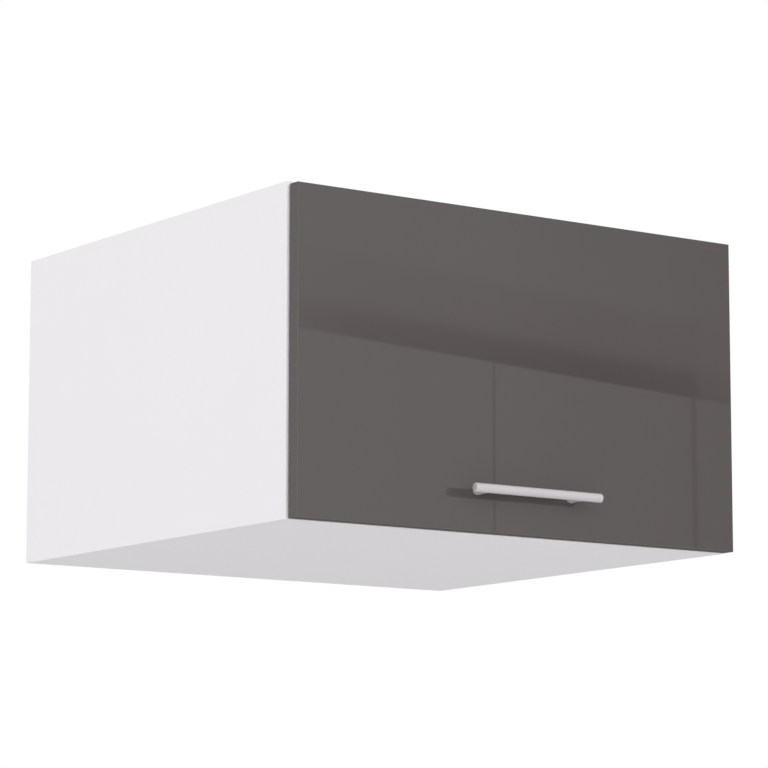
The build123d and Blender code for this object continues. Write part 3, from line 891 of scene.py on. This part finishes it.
@dataclass
class PinSet(Maker):
    """Small parts that repeat, one in place of each solid of a node."""

    node: str
    axis: int
    body: Body
    finish: Finish = ZINC_STEEL
    prefix: ClassVar[str]

    def build(self) -> bpy.types.Object:
        """Makes one part for each solid.

        Returns:
            The set as one piece.
        """
        bm = bmesh.new()
        for solid in Workbench.solids(self.node, self.axis):
            self.one(bm, solid)
        return Workbench.piece(bm, self.prefix + self.node, self.finish, self.body, self.node)

    @abstractmethod
    def one(self, bm: BMesh, solid: Solid) -> None:
        """Adds one part to the mesh, in a solid's place."""


@dataclass
class ScrewSet(PinSet):
    """Round-headed screws with a cross recess, in place of one node of plain screws."""

    head: float = 3.6 * MM
    shank: float = 2.0 * MM
    rise: float = 2.2 * MM
    recess: float = 2.0 * MM
    sink: float = 1.3 * MM
    # The cross between its arms, as a share of its radius, and its floor, as a share of its mouth.
    cross_waist: float = 0.36
    cross_taper: float = 0.55
    lip: float = 0.01 * MM
    point: float = 2.0 * MM
    tip: float = 0.3 * MM
    sides: int = 16
    # The head's outline: pairs of a share of its radius and a share of its height.
    dome: Stops = ((0.72, 0.04), (0.9, 0.22), (0.985, 0.55), (1.0, 1.0))
    prefix: ClassVar[str] = "cross_"

    def one(self, bm: BMesh, solid: Solid) -> None:
        """Adds one screw: its own zero is the top of the head and its point is up the +Z axis.

        Args:
            bm: The mesh that it joins.
            solid: The solid whose place it takes.
        """
        own = bmesh.new()
        self.cross(own)
        rings = [(share * self.head, depth * self.rise) for share, depth in self.dome]
        rings += [(self.shank, self.rise + self.lip), (self.shank, solid.length - self.point)]
        rings.append((self.tip, solid.length))
        edge = [e for e in own.edges if e.is_boundary]
        for radius, depth in rings:
            grown = bmesh.ops.extrude_edge_only(own, edges=edge)["geom"]
            for point in (g for g in grown if isinstance(g, bmesh.types.BMVert)):
                turn = self.spoke(point.co) / self.sides * math.tau
                point.co = Vector((radius * math.cos(turn), radius * math.sin(turn), depth))
            edge = [g for g in grown if isinstance(g, bmesh.types.BMEdge)]
        bmesh.ops.holes_fill(own, edges=edge, sides=0)
        Workbench.join(bm, own, solid.place)

    def cross(self, own: BMesh) -> None:
        """Starts a screw with the star-shaped recess in its head: the mouth, the walls and the floor.

        Args:
            own: The screw's mesh, which is still empty.
        """
        star = bmesh.ops.create_circle(own, cap_ends=False, segments=self.sides, radius=self.recess)["verts"]
        for vert in star:
            if self.spoke(vert.co) % 4 == 2:
                vert.co *= self.cross_waist
        loop = list({e for v in star for e in v.link_edges})
        floor = bmesh.ops.contextual_create(own, geom=loop)["faces"]
        down = bmesh.ops.extrude_discrete_faces(own, faces=floor)["faces"]
        middle = [v for f in down for v in f.verts]
        bmesh.ops.scale(own, vec=(self.cross_taper, self.cross_taper, 1.0), verts=middle)
        bmesh.ops.translate(own, vec=(0, 0, self.sink), verts=middle)
        rims = [e for e in own.edges if e.is_boundary]
        lower = [e for e in rims if all(v.co.z > self.sink / 2 for v in e.verts)]
        upper = [e for e in rims if e not in lower]
        bmesh.ops.bridge_loops(own, edges=lower + upper)

    def spoke(self, point: Vector) -> int:
        """Returns: the number of the side that a point lies at, counted round the screw's axis."""
        return round(math.atan2(point.y, point.x) / math.tau * self.sides)


@dataclass
class RoundSet(PinSet):
    """Round pins with chamfered ends, in place of one node of few-sided ones."""

    chamfer: float = 0.6 * MM
    head_length: float = 0.0
    shank: float = 0.0
    steps: int = 24
    prefix: ClassVar[str] = "round_"

    def one(self, bm: BMesh, solid: Solid) -> None:
        """Adds one pin to the mesh, in a solid's place."""
        Workbench.turned(bm, self.outline(solid.length, solid.radius), self.steps, solid.place)

    def outline(self, length: float, radius: float) -> list[Pair]:
        """Gives the half outline of one pin.

        Args:
            length: The whole length.
            radius: The radius of the head, or of the whole pin where it has none.

        Returns:
            Pairs of the way along the axis and the radius there.
        """
        cut = self.chamfer
        tip = self.shank or radius
        points = [(0.0, 0.0), (0.0, radius - cut), (cut, radius)]
        if self.head_length:
            end = self.head_length
            points += [(end - cut / 2, radius), (end, radius - cut / 2), (end, tip)]
        return points + [(length - cut, tip), (length, tip - cut), (length, 0.0)]


@dataclass
class SpringPack(Maker):
    """The two coil springs of one side, wound in place of the plain sleeves."""

    side: Side
    wire: float = 1.1 * MM
    wire_sides: int = 8
    turns: int = 22
    steps: int = 20

    def build(self) -> bpy.types.Object:
        """Winds both springs, each as long as its sleeve.

        Returns:
            Both springs as one piece.
        """
        node = "lift_spring_" + self.side.word
        bm = bmesh.new()
        for solid in Workbench.solids(node, 1):
            radius = min(solid.size.x, solid.size.z) / 2 - self.wire
            start = Vector((solid.centre.x, solid.low.y + self.wire, solid.centre.z))
            ring = bmesh.ops.create_circle(
                bm, cap_ends=True, segments=self.wire_sides, radius=self.wire,
                matrix=Matrix.Translation(start + Vector((radius, 0, 0))),
            )["verts"]
            steps = self.turns * self.steps
            rise = (solid.size.y - 2 * self.wire) / steps
            bmesh.ops.spin(
                bm, geom=[ring[0].link_faces[0]], cent=start, axis=(0, 1, 0), dvec=(0, rise, 0),
                angle=math.tau * self.turns, steps=steps,
            )
        return Workbench.piece(bm, "coil_" + node, SPRING_STEEL, Body.CARCASS, node)


@dataclass
class DoorBands(Maker):
    """The band round the front's board, as one ring with rounded outer edges."""

    width: float = 1.0 * MM
    rounding: float = 0.5 * MM
    segments: int = 5
    crease: float = 50.0
    touch: float = 0.01 * MM

    def build(self) -> bpy.types.Object:
        """Makes the ring from a rectangle: inset, emptied, drawn back and rounded.

        Returns:
            The ring.
        """
        low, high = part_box("door_edge_bands")
        bm = bmesh.new()
        place = Matrix.Translation(((low.x + high.x) / 2, low.y, (low.z + high.z) / 2))
        place @= Matrix.Rotation(math.radians(90), 4, "X")
        place @= Matrix.Diagonal(((high.x - low.x) / 2, (high.z - low.z) / 2, 1.0, 1.0))
        bmesh.ops.create_grid(bm, x_segments=1, y_segments=1, size=1.0, matrix=place)
        whole = bm.faces[:]
        bmesh.ops.inset_region(
            bm, faces=whole, thickness=self.width, use_boundary=True, use_even_offset=True
        )
        bmesh.ops.delete(bm, geom=whole, context="FACES")
        ring = bmesh.ops.extrude_face_region(bm, geom=bm.faces[:])["geom"]
        back = [g for g in ring if isinstance(g, bmesh.types.BMVert)]
        bmesh.ops.translate(bm, vec=(0, high.y - low.y, 0), verts=back)
        bmesh.ops.recalc_face_normals(bm, faces=bm.faces[:])
        bmesh.ops.bevel(
            bm, geom=[e for e in bm.edges if self.is_outer(e, low, high)], offset=self.rounding,
            offset_type="OFFSET", affect="EDGES", segments=self.segments, profile=0.5, material=-1,
        )
        name = "rounded_door_bands"
        return Workbench.piece(bm, name, FRONT_BAND, Body.FRONT, "door_edge_bands", self.crease)

    def is_outer(self, edge: bmesh.types.BMEdge, low: Vector, high: Vector) -> bool:
        """Tells whether an edge lies on the outline of the front or the back of the ring.

        Args:
            edge: The edge.
            low: The ring's lowest corner.
            high: The ring's highest corner.

        Returns:
            True where both of its ends are on the ring's outside and at the same depth.
        """
        first, second = (v.co for v in edge.verts)
        return abs(first.y - second.y) < self.touch and all(
            min(p.x - low.x, high.x - p.x, p.z - low.z, high.z - p.z) < self.touch for p in (first, second)
        )


@dataclass
class BarHandle(Maker):
    """Round bar on two oval posts that swell into it.

    A post's sizes are half its width along the bar and half its height, at the foot, at the waist and in
    the bar.
    """

    radius: float = 5.0 * MM
    bar_steps: int = 48
    end_chamfer: float = 1.0 * MM
    # The chamfer's corners are rounded: how far that reaches, and the two offsets of its middle points.
    corner: float = 0.3 * MM
    corner_bow: Pair = (0.12 * MM, 0.1 * MM)
    foot: Pair = (6.2 * MM, 4.5 * MM)
    waist: Pair = (5.2 * MM, 3.9 * MM)
    blend: Pair = (11.0 * MM, 4.5 * MM)
    waist_share: float = 0.45
    post_inset: float = 22.5 * MM
    post_short: float = 1.2 * MM
    post_steps: int = 32
    rings: int = 14
    crease: float = 40.0

    def build(self) -> bpy.types.Object:
        """Makes the bar and its posts, as long and as deep as the node.

        Returns:
            The handle as one piece.
        """
        low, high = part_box("handle")
        bm = bmesh.new()
        centre_y = low.y + self.radius
        centre_z = (low.z + high.z) / 2
        self.bar(bm, Vector((low.x, centre_y, centre_z)), high.x - low.x)
        for x in (low.x + self.post_inset, high.x - self.post_inset):
            self.post(bm, Vector((x, high.y, centre_z)), high.y - centre_y)
        return Workbench.piece(bm, "smooth_handle", HANDLE_METAL, Body.FRONT, "handle", self.crease)

    def bar(self, bm: BMesh, start: Vector, length: float) -> None:
        """Turns the bar with its chamfered ends, whose corners are a little rounded.

        Args:
            bm: The mesh that it joins.
            start: The middle of its left end.
            length: Its length.
        """
        cut, (near, past) = self.end_chamfer, self.corner_bow
        end = [
            (0.0, 0.0),
            (0.0, self.radius - cut - self.corner),
            (near, self.radius - cut - past),
            (cut - past, self.radius - near),
            (cut + self.corner, self.radius),
        ]
        outline = end + [(length - along, radius) for along, radius in reversed(end)]
        Workbench.turned(bm, outline, self.bar_steps, Workbench.along(0, start))

    def post(self, bm: BMesh, foot: Vector, reach: float) -> None:
        """Lofts one post from its foot to inside the bar.

        Args:
            bm: The mesh that it joins.
            foot: The middle of its foot, on the front.
            reach: From the front to the bar's axis.
        """
        loops = []
        for number in range(self.rings + 1):
            share = number / self.rings
            place = Matrix.Translation(foot - Vector((0, share * (reach - self.post_short), 0)))
            place @= Matrix.Rotation(math.radians(90), 4, "X")
            place @= Matrix.Diagonal((*self.section(share), 1.0, 1.0))
            ring = set(bmesh.ops.create_circle(
                bm, cap_ends=number in (0, self.rings), segments=self.post_steps, radius=1.0, matrix=place
            )["verts"])
            loops.append([e for e in bm.edges if ring.issuperset(e.verts)])
        for lower, upper in zip(loops, loops[1:]):
            bmesh.ops.bridge_loops(bm, edges=lower + upper)

    def section(self, share: float) -> Pair:
        """Gives the post's half width and half height on its way to the bar.

        Args:
            share: The way from the foot, 0, to inside the bar, 1.

        Returns:
            Half the width along the bar, and half the height across it.
        """
        if share < self.waist_share:
            ease = (1 - share / self.waist_share) ** 2
            aim = self.foot
        else:
            ease = ((share - self.waist_share) / (1 - self.waist_share)) ** 3
            aim = self.blend
        wide, tall = (thin + (full - thin) * ease for thin, full in zip(self.waist, aim))
        return wide, tall


@dataclass
class Carcass(SubAssembly):
    """The white box: two sides, top, bottom, back and the bands on the front edges."""

    board_edge: float = 0.25 * MM
    band_edge: float = 0.25 * MM

    def parts(self) -> Iterator[Maker]:
        """Lists every panel, and the bands.

        Returns:
            The maker of each piece, in order.
        """
        for node in ("side_panel_left", "side_panel_right", "top_panel", "bottom_panel"):
            yield SoftEdged(node, WHITE_BOARD, Body.CARCASS, self.board_edge)
        yield SoftEdged("front_edge_bands", WHITE_BAND, Body.CARCASS, self.band_edge, segments=3)
        yield SoftEdged("back_panel", BACK_BOARD, Body.CARCASS, self.board_edge, segments=1)


@dataclass
class PanelFittings(SubAssembly):
    """What joins the panels: cams, bolts, dowels and the caps inside."""

    housing_edge: float = 0.25 * MM
    cap_edge: float = 0.35 * MM
    bolt_head: float = 3.0 * MM
    bolt_shank: float = 2.5 * MM

    def parts(self) -> Iterator[Maker]:
        """Lists the fittings.

        Returns:
            The maker of each piece, in order.
        """
        body = Body.CARCASS
        yield SoftEdged("cam_housings", CAST_ZINC, body, self.housing_edge)
        yield SoftEdged("cam_cover_caps", WHITE_PLASTIC, body, self.cap_edge, segments=3)
        yield RoundSet("cam_bolts", 0, body, head_length=self.bolt_head, shank=self.bolt_shank)
        yield RoundSet("wooden_dowels", 0, body, BEECH)


@dataclass
class WallHangers(SubAssembly):
    """The two hangers in the upper rear corners, whose hooks go over a wall rail."""

    body_edge: float = 0.4 * MM
    cover_edge: float = 0.5 * MM
    hook_edge: float = 0.5 * MM
    screw_head: float = 3.2 * MM
    screw_shank: float = 3.0 * MM
    screw_recess: float = 2.1 * MM

    def parts(self) -> Iterator[Maker]:
        """Lists both hangers' pieces.

        Returns:
            The maker of each piece, in order.
        """
        body = Body.CARCASS
        for side in Side:
            yield SoftEdged("hanger_body_" + side.word, WHITE_PLASTIC, body, self.body_edge)
            yield SoftEdged("hanger_cover_" + side.word, WHITE_PLASTIC, body, self.cover_edge, segments=3)
            yield SoftEdged("hanger_hook_" + side.word, ZINC_STEEL, body, self.hook_edge, segments=3)
        yield ScrewSet(
            "hanger_screws", 1, body, head=self.screw_head, shank=self.screw_shank, recess=self.screw_recess
        )


@dataclass
class LiftMechanism(SubAssembly):
    """Levers, housings and springs at both sides, and the rod across."""

    plate_edge: float = 0.3 * MM
    cover_edge: float = 0.7 * MM
    lever_edge: float = 0.45 * MM
    bush_edge: float = 0.2 * MM
    rod_edge: float = 0.0
    screw_shank: float = 1.8 * MM

    def parts(self) -> Iterator[Maker]:
        """Lists both sides' pieces, and then what joins or serves both.

        Returns:
            The maker of each piece, in order.
        """
        for side in Side:
            yield from self.housing(side)
            yield from self.levers(side)
        yield SoftEdged("stabiliser_rod", ROD_METAL, Body.LIFT_ARMS, self.rod_edge)
        yield SoftEdged("main_arm_bushes", BLACK_PLASTIC, Body.LIFT_ARMS, self.bush_edge)
        yield RoundSet("spring_rods", 1, Body.CARCASS)
        yield SoftEdged("guide_arm_pins", ZINC_STEEL, Body.CARCASS, self.plate_edge)
        yield ScrewSet("lift_base_screws", 0, Body.CARCASS, shank=self.screw_shank)

    def housing(self, side: Side) -> Iterator[Maker]:
        """Lists one side's base, cover, yoke, cam disc and springs.

        Args:
            side: The end of the cabinet.

        Returns:
            The maker of each piece, in order.
        """
        yield SoftEdged("lift_base_" + side.word, ZINC_STEEL, Body.CARCASS, self.plate_edge)
        yield SoftEdged("lift_cover_" + side.word, LIGHT_PLASTIC, Body.CARCASS, self.cover_edge, segments=3)
        yield SoftEdged("spring_yoke_" + side.word, CAST_ZINC, side.spring_body, self.plate_edge)
        yield SoftEdged("cam_disc_" + side.word, CAST_ZINC, Body.LIFT_ARMS, self.plate_edge)
        yield SpringPack(side)

    def levers(self, side: Side) -> Iterator[Maker]:
        """Lists one side's lever, guide lever and pivots.

        Args:
            side: The end of the cabinet.

        Returns:
            The maker of each piece, in order.
        """
        yield SoftEdged("main_arm_" + side.word, ZINC_STEEL, Body.LIFT_ARMS, self.lever_edge)
        yield SoftEdged("guide_arm_" + side.word, ZINC_STEEL, side.guide_body, self.lever_edge)
        yield SoftEdged("guide_arm_bushes_" + side.word, BLACK_PLASTIC, side.guide_body, self.bush_edge)
        yield SoftEdged("arm_axle_" + side.word, ZINC_STEEL, Body.LIFT_ARMS, self.plate_edge)


@dataclass
class DoorFront(SubAssembly):
    """The high-gloss front with its bands, brackets, bumpers and handle."""

    joint_line: float = 0.12 * MM
    joint_crease: float = 20.0
    bracket_edge: float = 0.5 * MM
    pin_edge: float = 0.35 * MM
    bumper_edge: float = 0.3 * MM

    def parts(self) -> Iterator[Maker]:
        """Lists the front's pieces, the handle last.

        Returns:
            The maker of each piece, in order.
        """
        body = Body.FRONT
        crease = self.joint_crease
        yield SoftEdged("door_panel", FRONT_BOARD, body, self.joint_line, segments=1, crease=crease)
        yield DoorBands()
        for side in Side:
            yield SoftEdged("door_bracket_" + side.word, ZINC_STEEL, body, self.bracket_edge, segments=3)
            yield SoftEdged("bracket_pins_" + side.word, ZINC_STEEL, body, self.pin_edge)
        yield SoftEdged("door_bumpers", CLEAR_RUBBER, body, self.bumper_edge)
        yield ScrewSet("bracket_screws", 1, body)
        yield BarHandle()
        yield ScrewSet("handle_screws", 1, body)


@dataclass(frozen=True)
class Lamp:
    """One soft square lamp that looks at the cabinet."""

    name: str
    place: Triple
    size: float
    power: float
    target: Triple = (0.0, -0.3, 0.18)

    def build(self) -> bpy.types.Object:
        """Makes the lamp, which is seen neither by the camera nor by gloss.

        Returns:
            The lamp.
        """
        data = bpy.data.lights.new(self.name, "AREA")
        data.shape = "SQUARE"
        data.size = self.size
        data.energy = self.power
        made = Workbench.linked(self.name, data)
        made.location = self.place
        away = Vector(self.target) - Vector(self.place)
        made.rotation_euler = away.to_track_quat("-Z", "Y").to_euler()
        made.visible_camera = False
        made.visible_glossy = False
        return made


@dataclass(frozen=True)
class RoomCard:
    """A card before the cabinet that only gloss sees: a pale room, a soft dark ledge and two upright lines.

    The ledge's lower edge starts at its left point and falls with its slope. Its steps are the brightness
    at a height over that edge, and its depth is the share of that darkness that counts at an X. A line is
    its X, its half width and its darkness. The right shade is more darkness, at an X.
    """

    y: float = -3.0
    low: Pair = (0.7, -0.4)
    high: Pair = (3.0, 1.5)
    fade: float = 0.25
    ledge_left: Pair = (1.318, 0.704)
    ledge_slope: float = -0.0514
    ledge_steps: Stops = (
        (-0.003, 1.0), (0.003, 0.27), (0.03, 0.34), (0.078, 0.8), (0.145, 0.86), (0.175, 1.0),
    )
    ledge_depth: Stops = (
        (1.3, 0.5), (1.5, 0.85), (1.85, 1.0), (2.1, 1.0), (2.3, 0.8), (2.33, 0.4), (2.5, 0.3),
    )
    lines: tuple[Triple, ...] = ((1.785, 0.0035, 0.85), (2.303, 0.01, 0.4))
    right_shade: Stops = ((1.2, -0.03), (1.7, 0.07), (2.1, 0.26), (2.45, 0.38))

    def build(self) -> bpy.types.Object:
        """Hangs the card up, unseen by the camera and by plain light.

        Returns:
            The card.
        """
        middle = ((self.low[0] + self.high[0]) / 2, self.y, (self.low[1] + self.high[1]) / 2)
        half = ((self.high[0] - self.low[0]) / 2, (self.high[1] - self.low[1]) / 2)
        place = Matrix.Translation(middle) @ Matrix.Rotation(math.radians(-90), 4, "X")
        place @= Matrix.Diagonal((*half, 1.0, 1.0))
        made = Workbench.sheet("room_card", place, self.glow())
        for ray in ("camera", "diffuse", "transmission", "volume_scatter", "shadow"):
            setattr(made, "visible_" + ray, False)
        return made

    def glow(self) -> bpy.types.Material:
        """Makes the card's material: a pale glow with the darker shapes, faded out towards its edges.

        Returns:
            The material.
        """
        made = bpy.data.materials.new("room_card")
        pen = NodePen.afresh(made)
        place = pen.axes(pen.add("ShaderNodeTexCoord").outputs["Object"])
        x, z = place["X"], place["Z"]
        dark = self.darkness(pen, x, z)
        for value, low, high in ((x, self.low[0], self.high[0]), (z, self.low[1], self.high[1])):
            past = pen.sum_of("SUBTRACT", value, low)
            left = pen.sum_of("SUBTRACT", high, value)
            share = pen.sum_of("DIVIDE", pen.sum_of("MINIMUM", past, left), self.fade)
            dark = pen.sum_of("MULTIPLY", dark, pen.sum_of("MINIMUM", share, 1.0))
        light = pen.add("ShaderNodeEmission")
        pen.close(pen.feed(light, Color=WHITE, Strength=pen.sum_of("SUBTRACT", 1.0, dark)))
        return made

    def darkness(self, pen: NodePen, x: Socket, z: Socket) -> Socket:
        """Draws the ledge, the two lines under it and the shade towards the right.

        Args:
            pen: The pen for the card's tree.
            x: The way along the card.
            z: The height.

        Returns:
            The darkness' socket.
        """
        run = pen.sum_of("SUBTRACT", x, self.ledge_left[0])
        line = pen.sum_of("MULTIPLY", run, self.ledge_slope)
        above = pen.sum_of("SUBTRACT", pen.sum_of("SUBTRACT", z, self.ledge_left[1]), line)
        shade = pen.sum_of("SUBTRACT", 1.0, self.steps(pen, above, self.ledge_steps))
        dark = pen.sum_of("MULTIPLY", shade, self.steps(pen, x, self.ledge_depth))
        below = pen.sum_of("LESS_THAN", above, 0.0)
        for place, half_width, depth in self.lines:
            away = pen.sum_of("ABSOLUTE", pen.sum_of("SUBTRACT", x, place), 0.0)
            near = pen.sum_of("SUBTRACT", 1.0, pen.sum_of("DIVIDE", away, half_width))
            near = pen.sum_of("MULTIPLY", pen.sum_of("MAXIMUM", near, 0.0), below)
            dark = pen.sum_of("ADD", dark, pen.sum_of("MULTIPLY", near, depth))
        return pen.sum_of("ADD", dark, self.steps(pen, x, self.right_shade))

    @staticmethod
    def steps(pen: NodePen, value: Socket, stops: Stops) -> Socket:
        """Gives a smooth level between stops.

        Args:
            pen: The pen for the material's tree.
            value: Where along the stops.
            stops: Pairs of a place and the level there.

        Returns:
            The level's socket.
        """
        start, end = stops[0][0], stops[-1][0]
        reach = pen.add("ShaderNodeMapRange")
        pen.feed(reach, Value=value, From_Min=start, From_Max=end)
        greys = tuple(((place - start) / (end - start), (level, level, level)) for place, level in stops)
        return pen.channel(pen.ramp(reach.outputs["Result"], greys, "EASE"), "Red")


@dataclass(frozen=True)
class PhotoCamera:
    """The camera of the photograph: below the cabinet, to the left of its front. Angles are in degrees."""

    place: Triple = (-2.2451, -3.502, -0.4078)
    heading: float = 35.061
    climb: float = 8.853
    roll: float = 0.037
    lens: float = 159.89
    sensor: float = 36.0

    def build(self) -> bpy.types.Object:
        """Sets the camera up as the scene's own.

        Returns:
            The camera.
        """
        heading, climb = math.radians(self.heading), math.radians(self.climb)
        level = math.cos(climb)
        forward = Vector((math.sin(heading) * level, math.cos(heading) * level, math.sin(climb)))
        right = Vector((math.cos(heading), -math.sin(heading), 0.0))
        turn = Matrix((right, right.cross(forward), -forward)).transposed()
        turn @= Matrix.Rotation(math.radians(self.roll), 3, "Z")
        data = bpy.data.cameras.new("photo_camera")
        data.lens = self.lens
        data.sensor_width = self.sensor
        made = Workbench.linked("photo_camera", data)
        made.matrix_world = Matrix.Translation(self.place) @ turn.to_4x4()
        bpy.context.scene.camera = made
        return made


@dataclass
class Studio:
    """Plain pale floor, white surroundings, soft lamps and the camera."""

    floor_z: float = -1.5
    floor_half: float = 14.0
    floor_colour: tuple[float, float, float, float] = (0.8, 0.8, 0.8, 1.0)
    # The floor is its own colour up to the first way from the origin, and white past the second.
    floor_fade: Pair = (2.4, 6.5)
    world_light: float = 0.70
    lamps: tuple[Lamp, ...] = (
        Lamp("rear_lamp", (-5.0, 3.0, 1.4), size=3.0, power=60.0),
        Lamp("key_lamp", (-5.2, -4.8, 1.4), size=4.0, power=88.0),
        Lamp("front_lamp", (-0.2, -6.5, 0.9), size=4.0, power=132.0),
        Lamp("high_lamp", (0.3, -0.3, 3.4), size=2.5, power=29.0),
    )

    def build(self) -> None:
        """Builds the floor, the world, the lamps, the card and the camera."""
        bpy.context.scene.view_settings.view_transform = "Standard"
        place = Matrix.Translation((0, 0, self.floor_z))
        place @= Matrix.Diagonal((self.floor_half, self.floor_half, 1.0, 1.0))
        Workbench.sheet("floor", place, self.floor_paint())
        self.surround()
        for lamp in self.lamps:
            lamp.build()
        RoomCard().build()
        PhotoCamera().build()

    def floor_paint(self) -> bpy.types.Material:
        """Makes the floor's material: pale, white to the eye far away, and clear from below.

        Returns:
            The material.
        """
        made = bpy.data.materials.new("floor")
        pen = NodePen.afresh(made)
        paint = pen.feed(pen.add("ShaderNodeBsdfDiffuse"), Color=self.floor_colour)
        white = pen.feed(pen.add("ShaderNodeEmission"), Color=WHITE, Strength=1.0)
        away = pen.add("ShaderNodeVectorMath", operation="LENGTH")
        pen.feed(away, Vector=pen.add("ShaderNodeTexCoord").outputs["Object"])
        start, end = self.floor_fade
        far = pen.add("ShaderNodeMapRange", interpolation_type="SMOOTHSTEP")
        pen.feed(far, Value=away.outputs["Value"], From_Min=start, From_Max=end)
        seen = pen.add("ShaderNodeLightPath").outputs["Is Camera Ray"]
        upper = pen.blend(pen.sum_of("MULTIPLY", seen, far.outputs["Result"]), paint, white)
        below = pen.add("ShaderNodeNewGeometry").outputs["Backfacing"]
        pen.close(pen.blend(below, upper, pen.add("ShaderNodeBsdfTransparent")))
        return made

    def surround(self) -> None:
        """Makes the surroundings white to the eye and in reflections, and a plain level of light."""
        world = bpy.data.worlds.new("white_studio")
        bpy.context.scene.world = world
        pen = NodePen.afresh(world)
        rays = pen.add("ShaderNodeLightPath").outputs
        seen = pen.sum_of("MAXIMUM", rays["Is Camera Ray"], rays["Is Glossy Ray"])
        seen = pen.sum_of("MAXIMUM", seen, rays["Is Transmission Ray"])
        more = pen.sum_of("MULTIPLY", seen, 1.0 - self.world_light)
        glow = pen.add("ShaderNodeBackground")
        pen.feed(glow, Color=WHITE, Strength=pen.sum_of("ADD", more, self.world_light))
        pen.close(glow, "ShaderNodeOutputWorld")


def main() -> None:
    """Builds the studio and then the cabinet, sub-assembly by sub-assembly, and reports each piece."""
    logging.basicConfig(level=logging.INFO, format="%(name)s: %(message)s")
    Studio().build()
    for assembly in (Carcass(), PanelFittings(), WallHangers(), LiftMechanism(), DoorFront()):
        for piece in assembly.build():
            LOG.info("%s: %s, %d faces", type(assembly).__name__, piece.name, len(piece.data.polygons))


if __name__ == "__main__":
    main()
